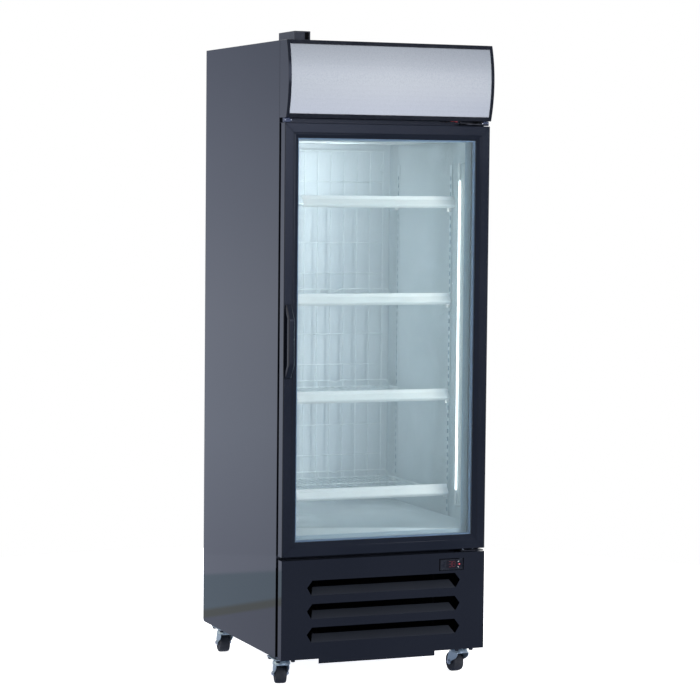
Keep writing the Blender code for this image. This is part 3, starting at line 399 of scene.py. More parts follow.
def skin(shape, rings, closed=False):
    """Joins each ring of corners to the next one. Open ends get a cap."""
    for first, second in list(zip(rings, rings[1:])) + ([(rings[-1], rings[0])] if closed else []):
        for k in range(len(first)):
            j = (k + 1) % len(first)
            shape.faces.new((first[k], first[j], second[j], second[k]))
    if not closed:
        shape.faces.new(rings[0][::-1])
        shape.faces.new(rings[-1])


def sweep(shape, points, radius, sides, closed=False):
    """Adds a round bar along the points to the shape, mitred at its corners."""
    points = [Vector(p) for p in points]
    count = len(points)
    rings = []
    side = None
    for i, point in enumerate(points):
        before = points[i - 1] if i or closed else None
        after = points[(i + 1) % count] if i < count - 1 or closed else None
        arriving = (point - before).normalized() if before is not None else (after - point).normalized()
        leaving = (after - point).normalized() if after is not None else arriving
        along = (arriving + leaving).normalized()
        if side is None:
            side = along.orthogonal().normalized()
        side = (side - along * side.dot(along)).normalized()
        other = along.cross(side)
        bend = leaving - arriving
        stretch = 1 / max(0.3, along.dot(leaving))
        outward = bend.normalized() if bend.length > 1e-6 else None
        ring = []
        for k in range(sides):
            angle = 2 * math.pi * (k + 0.5) / sides
            offset = (side * math.cos(angle) + other * math.sin(angle)) * radius
            if outward is not None:
                offset += outward * offset.dot(outward) * (stretch - 1)
            ring.append(shape.verts.new(point + offset))
        rings.append(ring)
    skin(shape, rings, closed)


def rounded(points, radius, steps, closed=False):
    """The path with its corners turned into arcs."""
    points = [Vector(p) for p in points]
    count = len(points)
    path = []
    for i, point in enumerate(points):
        if not closed and i in (0, count - 1):
            path.append(point)
            continue
        before, after = points[i - 1], points[(i + 1) % count]
        a = (before - point).normalized()
        b = (after - point).normalized()
        reach = min(radius, (before - point).length * 0.45, (after - point).length * 0.45)
        for step in range(steps + 1):
            t = step / steps
            path.append(point + a * reach * (1 - t) ** 2 + b * reach * t ** 2)
    return path


def extrude(shape, outline, along, depth):
    """Adds a closed prism: the outline's points carried by the vector along, depth far."""
    outline = [Vector(p) for p in outline]
    step = Vector(along).normalized() * depth
    low = [shape.verts.new(p) for p in outline]
    high = [shape.verts.new(p + step) for p in outline]
    shape.faces.new(low)
    shape.faces.new(high[::-1])
    for i, first in enumerate(low):
        j = (i + 1) % len(low)
        shape.faces.new((first, high[i], high[j], low[j]))


def block(shape, corner, opposite):
    """Adds a box between two opposite corners, given in any order."""
    (x0, x1), (y0, y1), (z0, z1) = (sorted(pair) for pair in zip(corner, opposite))
    extrude(shape, [(x0, y0, z0), (x1, y0, z0), (x1, y1, z0), (x0, y1, z0)], UP, z1 - z0)


def lathe(shape, at, axis, profile, steps):
    """Adds a turned solid. profile is a list of (distance along the axis, radius); ends are closed."""
    at, axis = Vector(at), Vector(axis).normalized()
    side = axis.orthogonal().normalized()
    other = axis.cross(side)
    rings = []
    for along, radius in profile:
        centre = at + axis * along
        if radius <= 0:
            rings.append([shape.verts.new(centre)])
            continue
        rings.append([shape.verts.new(centre + (side * math.cos(a) + other * math.sin(a)) * radius)
                      for a in (2 * math.pi * k / steps for k in range(steps))])
    for first, second in zip(rings, rings[1:]):
        for k in range(steps):
            j = (k + 1) % steps
            corners = [first[k % len(first)], first[j % len(first)],
                       second[j % len(second)], second[k % len(second)]]
            shape.faces.new(list(dict.fromkeys(corners)))
    for ring in (rings[0], rings[-1]):
        if len(ring) > 1:
            shape.faces.new(ring)


def screw_head(shape, at, out, radius, height):
    """Adds a domed head with a round recess."""
    recess = radius * 0.35
    profile = [(0, radius), (height * 0.45, radius * 0.96), (height * 0.85, radius * 0.72),
               (height, recess), (height * 0.3, recess * 0.95), (height * 0.3, 0)]
    lathe(shape, at, out, profile, 18)


def rivet_head(shape, at, out, radius, height):
    profile = [(0, radius), (height * 0.5, radius * 0.93), (height * 0.9, radius * 0.6), (height, 0)]
    lathe(shape, at, out, profile, 16)


def add_piece(name, shape, finishes, soften=0, replaces=(), smooth=35, segments=2, body="cabinet"):
    """Turns the shape into one shown piece that rides on a CAD body. finishes is one name or a list."""
    bmesh.ops.recalc_face_normals(shape, faces=shape.faces)
    mesh = bpy.data.meshes.new(name)
    shape.to_mesh(mesh)
    shape.free()
    for finish_name in [finishes] if isinstance(finishes, str) else finishes:
        mesh.materials.append(look[finish_name])
    mesh.shade_smooth()
    mesh.set_sharp_from_angle(angle=math.radians(smooth))
    piece = put(name, mesh)
    if soften:
        bevel = piece.modifiers.new("soft_edges", "BEVEL")
        bevel.width = soften
        bevel.segments = segments
        bevel.limit_method = "ANGLE"
        bevel.angle_limit = math.radians(30)
        bevel.harden_normals = True
    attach(piece, body)
    if replaces:
        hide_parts(*replaces)
    return piece


def cad_shape(node):
    """A copy of a CAD solid's mesh, with its shared corners joined."""
    shape = bmesh.new()
    shape.from_mesh(frame["nodes"][node].data)
    bmesh.ops.remove_doubles(shape, verts=shape.verts, dist=2e-5)
    return shape


def refine(node, name, finishes, soften, segments=2, smooth=35):
    """A copy of a CAD solid with its edges rounded over, shown in its place."""
    shape = cad_shape(node)
    bmesh.ops.dissolve_limit(shape, angle_limit=math.radians(1), verts=shape.verts, edges=shape.edges)
    body = frame["nodes"][node]["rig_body"]
    return add_piece(name, shape, finishes, soften, (node,), smooth, segments, body)


def paint(node, finish_name):
    """Gives a CAD node that is shown as it is its finish."""
    for slot in frame["nodes"][node].material_slots:
        slot.material = look[finish_name]


def paint_faces(piece, chosen):
    """Gives the piece's second finish to the faces that chosen picks."""
    for face in piece.data.polygons:
        if chosen(face):
            face.material_index = 1


# ---- cabinet
def dress_cabinet():
    for side in ("left", "right"):
        refine(f"side_panel_{side}", f"side_sheet_{side}", "panel", 0.0004)
    refine("roof_panel", "roof_sheet", "panel", 0.0003)
    refine("back_panel", "back_sheet", "galvanised", 0.0003)
    refine("base_pan", "base_tray", "galvanised", 0.0005)
    paint("insulation", "foam")
    dress_liner()
    grille = refine("base_grille_panel", "grille_sheet", ["panel", "louvre_lit_copy"], 0.0004)
    # The up-and-forward facing blade fronts get the lighter copy of the panel coat: painted light.
    paint_faces(grille, lambda face: face.normal.z > 0.3 and face.normal.y < -0.3)
    low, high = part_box("back_panel")
    heads = bmesh.new()
    inset, rows = 0.022, 6
    for i in range(rows):
        z = low.z + inset + (high.z - low.z - 2 * inset) * i / (rows - 1)
        for x in (low.x + inset, high.x - inset):
            rivet_head(heads, (x, high.y - 0.0008, z), (0, 1, 0), 0.0035, 0.0008)
    add_piece("back_sheet_rivets", heads, "rivet")


def dress_liner():
    """The white liner, the black flange around its mouth, and the breaker strips beside the seal."""
    for name, main, keep_flange in (("liner_walls", "liner", False), ("liner_flange", "frame", True)):
        shape = cad_shape("inner_liner")
        far = [f for f in shape.faces if (max(v.co.y for v in f.verts) < mouth + 0.0005) != keep_flange]
        bmesh.ops.delete(shape, geom=far, context="FACES")
        piece = add_piece(name, shape, [main, "breaker"], replaces=("inner_liner",))
        if not keep_flange:
            paint_faces(piece, lambda face: face.center.y < mouth + 0.01)

    low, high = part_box("door_gasket")
    inset = 0.0315
    wide, thin, sill = 0.022, 0.0115, 0.0185
    x0, x1, z0, z1 = low.x + inset, high.x - inset, low.z + inset, high.z - inset
    y0, y1 = high.y + 0.0016, high.y + 0.002
    shape = bmesh.new()
    block(shape, (x0, y0, z0), (x0 + wide, y1, z1))
    block(shape, (x1 - wide, y0, z0), (x1, y1, z1))
    block(shape, (x0 + wide, y0, z1 - thin), (x1 - wide, y1, z1))
    block(shape, (x0 + wide, y0, z0), (x1 - wide, y1, z0 + sill))
    add_piece("mouth_breaker_strips", shape, "breaker")


def dress_grille_end_shade():
    """Black blocks behind both ends of the grille panel: painted shade in the gaps there."""
    low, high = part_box("base_grille_panel")
    shape = bmesh.new()
    for side in SIDES:
        block(shape, (side * (cad_side - 0.0012), mouth - 0.0016, low.z + 0.018),
              (side * (cad_side - 0.034), mouth - 0.0002, high.z - 0.002))
    add_piece("grille_end_shade_blocks", shape, "cavity")


def dress_rear_grille():
    """The rear vent cover and the six screws along its top and bottom edges."""
    refine("rear_grille", "rear_vent_sheet", "galvanised", 0.0003)
    low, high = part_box("rear_grille")
    heads = bmesh.new()
    for x in (low.x + 0.02, 0, high.x - 0.02):
        for z in (low.z + 0.012, high.z - 0.014):
            screw_head(heads, (x, high.y - 0.0012, z), (0, 1, 0), 0.004, 0.0012)
    add_piece("rear_vent_screws", heads, "bolt")


def dress_roof_box():
    """Wiring box on the roof, with two screws in its cover and a black block just inside its front: painted
    shade in its opening.
    """
    refine("roof_wiring_box", "roof_box_cover", "plastic", 0.0012)
    low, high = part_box("roof_wiring_box")
    heads = bmesh.new()
    for y in (low.y + 0.02, high.y - 0.02):
        screw_head(heads, (low.x + 0.012, y, high.z - 0.0012), (0, 0, 1), 0.003, 0.0011)
    add_piece("roof_box_screws", heads, "bolt")
    # Painted shade: a black block fills the box's front opening.
    front_shade = bmesh.new()
    block(front_shade, (low.x + 0.004, low.y + 0.0018, low.z + 0.001),
          (high.x - 0.004, low.y + 0.006, high.z - 0.004))
    add_piece("roof_box_front_shade", front_shade, "cavity", 0.0005)


def dress_canopy():
    for side in ("left", "right"):
        refine(f"canopy_end_{side}", f"sign_end_cap_{side}", "panel", 0.0012, 3)
    refine("canopy_housing", "sign_housing", "plastic", 0.0004)
    paint("sign_face", "sign")
    refine("sign_lamp", "sign_lamp_bar", "lamp", 0.001)
    refine("light_switch", "sign_rocker", "red", 0.0008)
    low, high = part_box("canopy_end_left")
    rivets = bmesh.new()
    for side in SIDES:
        for z in (low.z + 0.011, high.z - 0.009):
            rivet_head(rivets, (side * (cad_side - 0.0012), low.y + 0.026, z), (side, 0, 0), 0.0036, 0.0011)
    add_piece("sign_cap_rivets", rivets, "rivet")
    lugs, studs = bmesh.new(), bmesh.new()
    front = low.y + 0.036
    gap_low, gap_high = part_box("door_rail_top")[1].z + 0.0018, low.z - 0.0002
    for side in SIDES:
        outer, inner = side * (cad_side - 0.0012), side * (cad_side - 0.02)
        block(lugs, (outer, front, gap_low), (inner, front + 0.018, gap_high))
        for x in (outer, inner):
            rivet_head(studs, (x - side * 0.002, front, (gap_low + gap_high) / 2), (0, -1, 0), 0.0026, 0.0011)
    add_piece("canopy_lugs", lugs, "lug", 0.0012)
    add_piece("canopy_lug_studs", studs, "rivet")
    low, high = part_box("light_switch")
    bezel = bmesh.new()
    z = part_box("canopy_housing")[0].z - 0.0006
    pad = 0.0035
    x0, x1, y0, y1 = low.x - pad, high.x + pad, low.y - pad, high.y + pad
    sweep(bezel, [(x0, y0, z), (x1, y0, z), (x1, y1, z), (x0, y1, z)], 0.0014, 8, closed=True)
    add_piece("sign_rocker_bezel", bezel, "plastic")


def dress_hinges():
    for side in ("top", "bottom"):
        refine(f"hinge_bracket_{side}", f"hinge_plate_{side}", "plastic", 0.0006)
    heads = bmesh.new()
    for side, plate_top in (("top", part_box("door_rail_top")[1].z + 0.007),
                            ("bottom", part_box("hinge_bracket_bottom")[0].z + 0.003)):
        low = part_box(f"hinge_bracket_{side}")[0]
        for x in (low.x + 0.016, low.x + 0.05):
            screw_head(heads, (x, low.y + 0.022, plate_top), UP, 0.0042, 0.0022)
    add_piece("hinge_screws", heads, "rivet")


# ---- door
def dress_door():
    """The frame members, pale on the faces that look inward behind the panes, and what they hold."""
    low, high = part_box("glass_inner")
    middle = (low + high) / 2
    for member, axis in (("stile_left", 0), ("stile_right", 0), ("rail_top", 2), ("rail_bottom", 2)):
        node = f"door_{member}"
        piece = refine(node, f"{node}_extrusion", ["frame", "seal_inside"], 0.0005, smooth=16)
        paint_faces(piece, lambda face: face.center.y > high.y and abs(face.normal[axis]) > 0.7
                    and (middle - face.center)[axis] * face.normal[axis] > 0)
    for node in ("glass_outer", "glass_inner"):
        paint(node, "glass")
    paint("glass_spacer", "spacer")
    dress_gasket()
    dress_handle()


def dress_gasket():
    """A bellows seal: a magnet bead at the back and two folds behind the door's edge."""
    low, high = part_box("door_gasket")
    depth = high.y - low.y
    section = [(0.001, 0), (0.032, 0), (0.032, 0.18), (0.028, 0.28), (0.0325, 0.42), (0.028, 0.58),
               (0.031, 0.72), (0.031, 0.97), (0.028, 1), (0.006, 1), (0.003, 0.97), (0.003, 0.72),
               (0.007, 0.58), (0.001, 0.42), (0.006, 0.28), (0.001, 0.18)]
    gap = 0.0001
    section = [(inward, low.y + gap + share * (depth - 2 * gap)) for inward, share in section]
    shape = bmesh.new()
    skin(shape, [[shape.verts.new((x - sx * inward, y, z - sz * inward)) for inward, y in section]
                 for x, z, sx, sz in ((low.x, low.z, -1, -1), (high.x, low.z, 1, -1),
                                      (high.x, high.z, 1, 1), (low.x, high.z, -1, 1))], closed=True)
    seal = add_piece("door_seal", shape, ["gasket", "seal_inside"],
                     replaces=("door_gasket",), body="door")
    inner_x, inner_z = high.x - 0.026, (high.z - low.z) / 2 - 0.026
    middle_z = (low.z + high.z) / 2
    paint_faces(seal, lambda face: abs(face.center.x) < inner_x and abs(face.center.z - middle_z) < inner_z)


def dress_handle():
    """The pull: a bent bar with slanted legs and fine upright ribs down its grip."""
    low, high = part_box("door_handle")
    middle, size = (low + high) / 2, high - low
    half, leg_rise = size.z / 2, 0.0415
    grip = 0.013
    section = [(-0.5, 1), (-0.5, 0.28), (-0.4, 0.06), (-0.3, 0), (-0.2, 0.05), (-0.1, 0), (0, 0.05),
               (0.1, 0), (0.2, 0.05), (0.3, 0), (0.4, 0.06), (0.5, 0.28), (0.5, 1), (0.42, 1),
               (-0.42, 1)]
    leg = []
    steps = 8
    for step in range(steps + 1):
        t = step / steps
        ease = t * t * (3 - 2 * t)
        front = high.y - size.y * (0.06 + 0.94 * t ** 0.9)
        leg.append((half - t * leg_rise, front, min(high.y, front + grip + (1 - ease) * 0.01)))
    straight = half - 0.0495
    rows = [(-z, front, back) for z, front, back in leg]
    rows += [(z, low.y, low.y + grip) for z in (-straight, 0, straight)] + leg[::-1]
    shape = bmesh.new()
    skin(shape, [[shape.verts.new((middle.x + u * size.x, front + v * (back - front), middle.z + z))
                  for u, v in section] for z, front, back in rows])
    add_piece("door_pull", shape, "frame", 0, ("door_handle",), 50, body="door")


# ---- controller
def dress_controller():
    """Recessed controller face with a smoked window, dim digits, a round key, two arrow marks and a painted
    shadow along its left and top edges.
    """
    refine("temperature_controller", "controller_case", "plastic", 0.0008)
    refine("controller_button", "controller_key_cap", "red", 0.0005)
    low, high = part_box("temperature_controller")
    key = sum(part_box("controller_button"), Vector()) / 2
    face = low.y
    middle_z = (low.z + high.z) / 2
    right = key.x - 0.0085
    window = bmesh.new()
    block(window, (right - 0.036, face - 0.0006, middle_z - 0.0125),
          (right, face + 0.0004, middle_z + 0.0125))
    add_piece("controller_window", window, "screen", 0.0004)

    # Painted shadow of the recess: black strips along the case's left edge and its top edge.
    recess_shadow = bmesh.new()
    block(recess_shadow, (low.x, face - 0.0005, low.z), (low.x + 0.0055, face + 0.0003, high.z))
    block(recess_shadow, (low.x + 0.0055, face - 0.0005, high.z - 0.0032), (key.x, face + 0.0003, high.z))
    add_piece("controller_recess_shadow", recess_shadow, "cavity")

    digits = bmesh.new()
    y = face - 0.0009
    height, width, stroke = 0.017, 0.0085, 0.0019
    z1 = key.z + 0.001
    z0, z2 = z1 - height / 2, z1 + height / 2
    for x, lit in ((right - 0.027, "abcdg"), (right - 0.0155, "abcdefg")):
        end = x + width
        bars = {"a": (x, z2, end, z2), "b": (end, z1, end, z2), "c": (end, z0, end, z1),
                "d": (x, z0, end, z0), "e": (x, z0, x, z1), "f": (x, z1, x, z2), "g": (x, z1, end, z1)}
        for bar in lit:
            xa, za, xb, zb = bars[bar]
            grow_x, grow_z = (0, stroke / 2) if za == zb else (stroke / 2, 0)
            block(digits, (xa - grow_x, y, za - grow_z), (xb + grow_x, y + 0.0003, zb + grow_z))
    add_piece("controller_digits", digits, "digits")

    marks = bmesh.new()
    for side in SIDES:
        z = key.z + side * 0.008
        arrow = [(key.x - 0.006, y, z), (key.x - 0.0022, y, z), (key.x - 0.0036, y, z + side * 0.003)]
        extrude(marks, arrow, (0, 1, 0), 0.0004)
    add_piece("controller_marks", marks, "mark")


# ---- inside the food compartment
def dress_shelves():
    """Wire shelves: a bent perimeter rod, cross rods, deck wires and a raised rear lip."""
    rod, wire, wires = 0.0024, 0.0014, 25
    for i in SHELVES:
        low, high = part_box(f"wire_shelf_{i}")
        shape = bmesh.new()
        x0, x1, y0, y1 = low.x + rod, high.x - rod, low.y + rod, high.y - rod
        z = low.z + rod
        ring = [(x0, y0, z), (x1, y0, z), (x1, y1, z), (x0, y1, z)]
        sweep(shape, rounded(ring, 0.012, 4, True), rod, 8, closed=True)
        for share in (0.33, 0.67):
            y = y0 + (y1 - y0) * share
            sweep(shape, [(x0, y, z - 0.0002), (x1, y, z - 0.0002)], rod * 0.9, 6)
        top = low.z + 0.004 - wire
        for k in range(wires):
            x = x0 + (x1 - x0) * (k + 0.5) / wires
            sweep(shape, [(x, y0 - 0.001, top), (x, y1 + 0.001, top)], wire, 6)
        lip = high.z - 0.0014
        dip = lip - 0.007
        half = (x1 - x0) / 2 - 0.012
        notch, slope = 0.081, 0.018
        path = [(half + 0.008, z), (half, lip), (notch + slope, lip), (notch, dip), (notch - slope, lip)]
        path = [(-x, y1, height) for x, height in path] + [(x, y1, height) for x, height in reversed(path)]
        sweep(shape, rounded(path, 0.006, 3), 0.002, 8)
        for k in range(1, wires, 4):
            x = x0 + (x1 - x0) * (k + 0.5) / wires
            if abs(abs(x) - notch) > 0.02:
                sweep(shape, [(x, y1, z), (x, y1, lip)], wire, 6)
        add_piece(f"wire_shelf_{i}_rods", shape, "wire", 0, (f"wire_shelf_{i}",), 60)
        refine(f"price_strip_{i}", f"price_strip_{i}_moulding", "white", 0.0004)


def dress_standards():
    """Shelf standards on the side walls, their slots drawn as grey marks of painted shade, and the clips that
    carry the shelves.
    """
    rib_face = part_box("light_bar_right")[1].x - 0.0034
    plates, slot_shade_marks, clips = bmesh.new(), bmesh.new(), bmesh.new()
    z0, z1 = 0.499, 1.63
    pitch, first = 0.0254, 0.02
    half_plate, half_clip, half_slot = 0.0088, 0.0055, 0.0072
    for y, half in ((mouth + 0.121, 0.005), (mouth + 0.545, 0.003)):
        for side in SIDES:
            face = side * rib_face
            block(plates, (face, y - half_plate, z0 + 0.001),
                  (face - side * 0.0003, y + half_plate, z1 - 0.001))
            for k in range(int((z1 - z0 - first) / pitch)):
                z = z0 + first + k * pitch
                # Each slot is a flat grey mark, painted shade instead of a hole.
                block(slot_shade_marks, (face, y - half, z - half_slot), (face - side * 0.0005, y + half, z + half_slot))
            for i in SHELVES:
                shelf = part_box(f"wire_shelf_{i}")[0].z
                inner = face - side * 0.0095
                foot, end = shelf - 0.0165, inner - side * 0.002
                block(clips, (face, y - half_clip, foot), (inner, y + half_clip, shelf - 0.0012))
                block(clips, (inner, y - half_clip, foot), (end, y + half_clip, shelf + 0.0022))
    add_piece("shelf_standards", plates, "liner")
    add_piece("shelf_standard_slot_shade", slot_shade_marks, "dark")
    add_piece("shelf_clips", clips, "white", 0.001)


def dress_wire_guard():
    """Rear guard of crossed wires, kept off the back wall by bent feet."""
    low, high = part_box("rear_wire_guard")
    wire, columns = 0.0016, 12
    y = low.y + wire
    shape = bmesh.new()
    for k in range(columns):
        x = low.x + wire + (high.x - low.x - 2 * wire) * k / (columns - 1)
        sweep(shape, [(x, y + 2 * wire, low.z), (x, y + 2 * wire, high.z)], wire, 6)
    top = high.z - wire
    bay, pair = 0.307, 0.103
    for i in range(4):
        for drop in (0, pair):
            z = top - i * bay - drop
            sweep(shape, [(low.x, y, z), (high.x, y, z)], wire, 6)
    sweep(shape, [(low.x, y, low.z + wire), (high.x, y, low.z + wire)], wire, 6)
    for x in (low.x + wire, high.x - wire):
        for z in (low.z + 0.06, high.z - 0.06):
            foot = [(x, y + 2 * wire, z - 0.012), (x, high.y - wire, z - 0.012),
                    (x, high.y - wire, z + 0.012), (x, y + 2 * wire, z + 0.012)]
            sweep(shape, rounded(foot, 0.004, 3), wire, 6)
    add_piece("rear_guard_wires", shape, "wire", 0, ("rear_wire_guard",), 60)


def dress_light_bars():
    """Light bar housings, their lit covers and end caps."""
    lit, ends = bmesh.new(), bmesh.new()
    for side, sign in (("left", -1), ("right", 1)):
        refine(f"light_bar_{side}", f"light_bar_{side}_housing", "white", 0.0012)
        low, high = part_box(f"light_bar_{side}")
        face = high.x if sign < 0 else low.x
        crown = face - sign * 0.0016
        y0, y1 = low.y + 0.0112, low.y + 0.0205
        z0, z1 = low.z + 0.05, high.z - 0.057
        section = [(face + sign * 0.001, y0), (face - sign * 0.0006, y0), (crown, y0 + 0.003),
                   (crown, y1 - 0.003), (face - sign * 0.0006, y1), (face + sign * 0.001, y1)]
        extrude(lit, [(x, y, z0) for x, y in section], UP, z1 - z0)
        for z_low, z_high in ((low.z + 0.004, low.z + 0.04), (high.z - 0.05, high.z - 0.004)):
            block(ends, (face, y0 - 0.003, z_low), (face - sign * 0.0022, y1 + 0.003, z_high))
    add_piece("light_bar_lit_covers", lit, "lamp")
    add_piece("light_bar_end_caps", ends, "white", 0.001)


def dress_evaporator():
    tray = refine("evaporator_cover", "evaporator_tray", ["white", "breaker"], 0.0004)
    paint_faces(tray, lambda face: face.normal.y < -0.7)
    refine("evaporator_fan_motor", "evaporator_motor", "plastic", 0.0008)
    centre = sum(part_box("evaporator_fan_blade"), Vector()) / 2
    centre.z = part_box("evaporator_cover")[0].z - 0.0018
    shape = bmesh.new()
    for radius in (0.012, 0.024, 0.036, 0.048, 0.06, 0.07):
        sweep(shape, circle(centre, radius, 40), 0.001, 6, closed=True)
    for k in range(4):
        angle = math.pi * (k + 0.5) / 2
        tip = Vector((math.cos(angle), math.sin(angle), 0)) * 0.074
        spoke = centre + UP * 0.0012
        sweep(shape, [spoke + tip * 0.16, spoke + tip], 0.0013, 6)
    add_piece("evaporator_fan_guard", shape, "wire", smooth=60)
    fan("evaporator_fan_blade", "evaporator_rotor", "evaporator_fan", UP, "plastic")
    coil("evaporator_coil", "evaporator_fins", 60)


def coil(node, name, fins, fin_finish="fins", tube_finish="copper"):
    """A finned block: thin fins on tube rows, with return bends outside both end plates."""
    low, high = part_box(node)
    ends = 0.014
    x0, x1 = low.x + ends, high.x - ends
    shape = bmesh.new()
    for k in range(fins):
        x = x0 + (x1 - x0) * k / (fins - 1)
        thick = 0.0012 if k in (0, fins - 1) else 0.0004
        block(shape, (x - thick / 2, low.y, low.z), (x + thick / 2, high.y, high.z))
    add_piece(name, shape, fin_finish, replaces=(node,))
    tubes = bmesh.new()
    rows = max(2, int((high.z - low.z) / 0.03))
    depth = (low.y + high.y) / 2
    gap = (high.z - low.z) / rows
    for row in range(rows):
        z = low.z + gap * (row + 0.5)
        sweep(tubes, [(x0 - 0.002, depth, z), (x1 + 0.002, depth, z)], 0.0045, 8)
    for row in range(rows - 1):
        z = low.z + gap * (row + 0.5)
        inner, outer = (x1, x1 + 0.009) if row % 2 else (x0, x0 - 0.009)
        bend = [(inner, depth, z), (outer, depth, z), (outer, depth, z + gap), (inner, depth, z + gap)]
        sweep(tubes, rounded(bend, 0.009, 4), 0.0045, 8)
    add_piece(f"{name}_tubes", tubes, tube_finish)


def fan(node, name, body, axis, finish_name):
    """A fan rotor: a domed hub and five twisted, curved blades."""
    low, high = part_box(node)
    centre, size = (low + high) / 2, high - low
    axis = Vector(axis)
    radius = min(size[i] for i in range(3) if abs(axis[i]) < 0.5) / 2
    depth = abs(size.dot(axis))
    side = axis.orthogonal().normalized()
    other = axis.cross(side)
    hub = radius * 0.22
    shape = bmesh.new()
    lathe(shape, centre, axis, [(-depth * 0.46, hub * 0.7), (-depth * 0.4, hub), (depth * 0.38, hub),
                                (depth * 0.46, hub * 0.8), (depth * 0.49, 0)], 24)
    blades, spans, chords = 5, 6, 6
    for blade in range(blades):
        start = 2 * math.pi * blade / blades
        grids = []
        for face in (1, -1):
            grid = []
            for i in range(spans + 1):
                t = i / spans
                r = hub * 0.8 + (radius * 0.985 - hub * 0.8) * t
                width = math.radians(34 + 20 * math.sin(math.pi * (0.15 + 0.75 * t)))
                row = []
                for j in range(chords + 1):
                    s = j / chords - 0.5
                    angle = start + width * s + 0.25 * t
                    lift = -depth * 0.8 * s * (1 - 0.25 * t) + depth * 0.1 * math.cos(math.pi * s)
                    point = centre + (side * math.cos(angle) + other * math.sin(angle)) * r
                    row.append(shape.verts.new(point + axis * (lift + face * 0.0006)))
                grid.append(row)
            grids.append(grid)
        top, bottom = grids
        for i in range(spans):
            for j in range(chords):
                shape.faces.new((top[i][j], top[i][j + 1], top[i + 1][j + 1], top[i + 1][j]))
                shape.faces.new((bottom[i][j], bottom[i + 1][j], bottom[i + 1][j + 1], bottom[i][j + 1]))
        rim = [(i, j, i + 1, j) for i in range(spans) for j in (0, chords)]
        rim += [(i, j, i, j + 1) for j in range(chords) for i in (0, spans)]
        for a, b, c, d in rim:
            shape.faces.new((top[a][b], top[c][d], bottom[c][d], bottom[a][b]))
    add_piece(name, shape, finish_name, replaces=(node,), smooth=50, body=body)


# ---- machine compartment
def dress_machinery():
    refine("compressor", "compressor_shell", "shell", 0.002, 3)
    refine("condenser_fan_motor", "condenser_fan_shroud", "cavity", 0.0005)
    fan("condenser_fan_blade", "condenser_rotor", "condenser_fan", (0, 1, 0), "fins")
    coil("condenser_coil", "condenser_fins", 90, "cavity", "cavity")


# ---- casters
def dress_casters():
    for corner in CORNERS:
        dress_caster_plate(corner)
        dress_caster_fork(corner)
        dress_caster_wheel(corner)


def caster_frame(corner):
    """The swivel point, the wheel's centre and the direction of the axle, of a caster at rest."""
    joints = {joint["name"]: joint for joint in frame["joints"]}
    roll = joints[f"caster_roll_{corner}"]
    swivel = Vector(joints[f"caster_swivel_{corner}"]["pos_m"])
    return swivel, Vector(roll["pos_m"]), Vector(roll["axis"]).normalized()


def dress_caster_plate(corner):
    """Stamped top plate with rounded corners and four bolts."""
    low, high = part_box(f"caster_plate_{corner}")
    refine(f"caster_plate_{corner}", f"caster_{corner}_plate", "zinc", 0.0006)
    shape = bmesh.new()
    inset = 0.0095
    bolt = [(0, 0.008), (0.0012, 0.008), (0.0013, 0.0068), (0.007, 0.0066), (0.008, 0.005), (0.0082, 0)]
    for x in (low.x + inset, high.x - inset):
        for y in (low.y + inset, high.y - inset):
            lathe(shape, (x, y, high.z - 0.0028), (0, 0, -1), bolt, 6)
    add_piece(f"caster_{corner}_bolts", shape, "bolt")


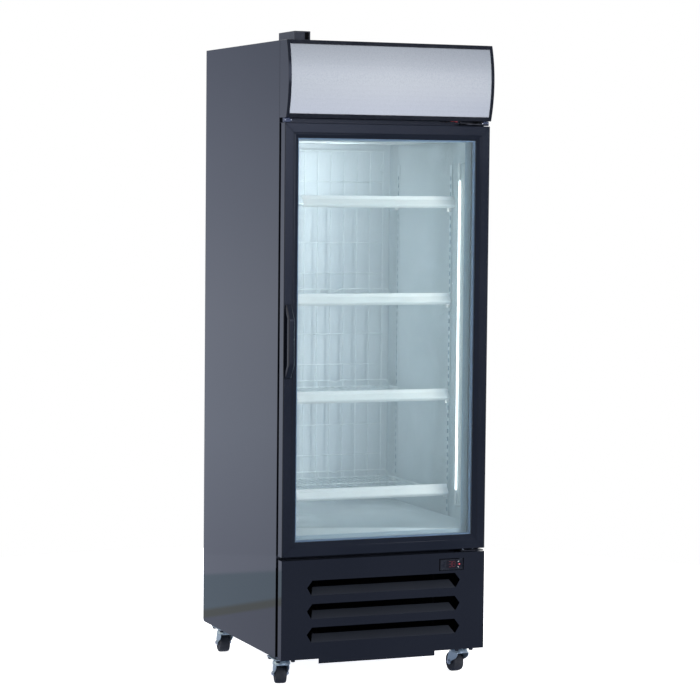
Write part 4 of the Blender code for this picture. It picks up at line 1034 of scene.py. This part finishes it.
def dress_caster_fork(corner):
    """Pressed fork: a round crown, a deck and two tapering legs, with the axle and its nuts."""
    swivel, centre, axle = caster_frame(corner)
    trail = UP.cross(axle)
    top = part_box(f"caster_fork_{corner}")[1].z
    shape = bmesh.new()
    crown = Vector((swivel.x, swivel.y, 0))
    lathe(shape, crown, UP, [(top - 0.0125, 0.027), (top - 0.012, 0.028), (top - 0.005, 0.0272),
                             (top - 0.0006, 0.024), (top - 0.0002, 0.018)], 32)
    inner, sheet = 0.0194, 0.0026
    run = (centre - crown).dot(trail)
    outline = [(-0.0245, top - 0.01), (-0.0255, top - 0.019), (-0.016, top - 0.029)]
    outline += [(run - 0.01 * math.cos(a), centre.z - 0.01 * math.sin(a))
                for a in (math.radians(-8 + 196 * k / 10) for k in range(11))]
    outline += [(run + 0.009, centre.z + 0.013), (0.031, top - 0.021), (0.0255, top - 0.01)]
    for sign in SIDES:
        face = crown + axle * sign * inner
        points = [face + trail * along + UP * z for along, z in outline]
        extrude(shape, points, axle * sign, sheet)
    deck = [(-0.0245, top - 0.01), (0.0255, top - 0.01), (0.0262, top - 0.0135), (-0.025, top - 0.0135)]
    points = [crown - axle * (inner + sheet * 0.5) + trail * along + UP * z for along, z in deck]
    extrude(shape, points, axle, 2 * inner + sheet)
    add_piece(f"caster_{corner}_fork", shape, "zinc", 0.0009, (f"caster_fork_{corner}",),
              body=f"swivel_{corner}")

    nuts = bmesh.new()
    for sign in SIDES:
        start = centre + axle * sign * (inner + sheet)
        washer = [(-0.0002, 0.0078), (0.0009, 0.0078), (0.001, 0.0066)]
        nut = [(0.0007, 0.0066), (0.004, 0.0066), (0.0048, 0.0056)]
        stub = [(0.004, 0.0036), (0.0052, 0.0036), (0.0055, 0.003)]
        for profile, sides in ((washer, 20), (nut, 6), (stub, 12)):
            lathe(nuts, start, axle * sign, profile, sides)
    lathe(nuts, centre - axle * (inner + 0.001), axle, [(0, 0.0039), (2 * inner + 0.002, 0.0039)], 16)
    add_piece(f"caster_{corner}_axle", nuts, "rivet", body=f"swivel_{corner}")


def dress_caster_wheel(corner):
    """Crowned rubber tyre with a paler core and a raised hub."""
    centre, axle = caster_frame(corner)[1:]
    half, radius = 0.0179, 0.0319
    tyre = [(-half * 0.86, radius * 0.66), (-half * 0.96, radius * 0.74), (-half * 0.98, radius * 0.86),
            (-half * 0.9, radius * 0.945), (-half * 0.7, radius * 0.982), (-half * 0.35, radius * 0.997),
            (0, radius)]
    tyre += [(-along, size) for along, size in reversed(tyre[:-1])]
    shape = bmesh.new()
    lathe(shape, centre, axle, tyre, 40)
    add_piece(f"caster_{corner}_tyre", shape, "tread",
              replaces=(f"caster_wheel_{corner}",), smooth=45, body=f"wheel_{corner}")
    hub = [(-half, 0.0045), (-half, 0.0098), (-half * 0.9, 0.0104), (-half * 0.62, 0.0112),
           (-half * 0.58, 0.0182), (-half * 0.82, 0.0192), (-half * 0.82, 0.0205)]
    hub += [(-along, size) for along, size in reversed(hub)]
    shape = bmesh.new()
    lathe(shape, centre, axle, hub, 40)
    add_piece(f"caster_{corner}_core", shape, "hub", smooth=45, body=f"wheel_{corner}")


cad_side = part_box("side_panel_right")[1].x
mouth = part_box("side_panel_left")[0].y
add_camera()
add_studio()
for dress in (dress_cabinet, dress_grille_end_shade, dress_rear_grille, dress_roof_box, dress_canopy,
              dress_hinges, dress_door, dress_controller, dress_shelves, dress_standards,
              dress_wire_guard, dress_light_bars, dress_evaporator, dress_machinery, dress_casters):
    dress()
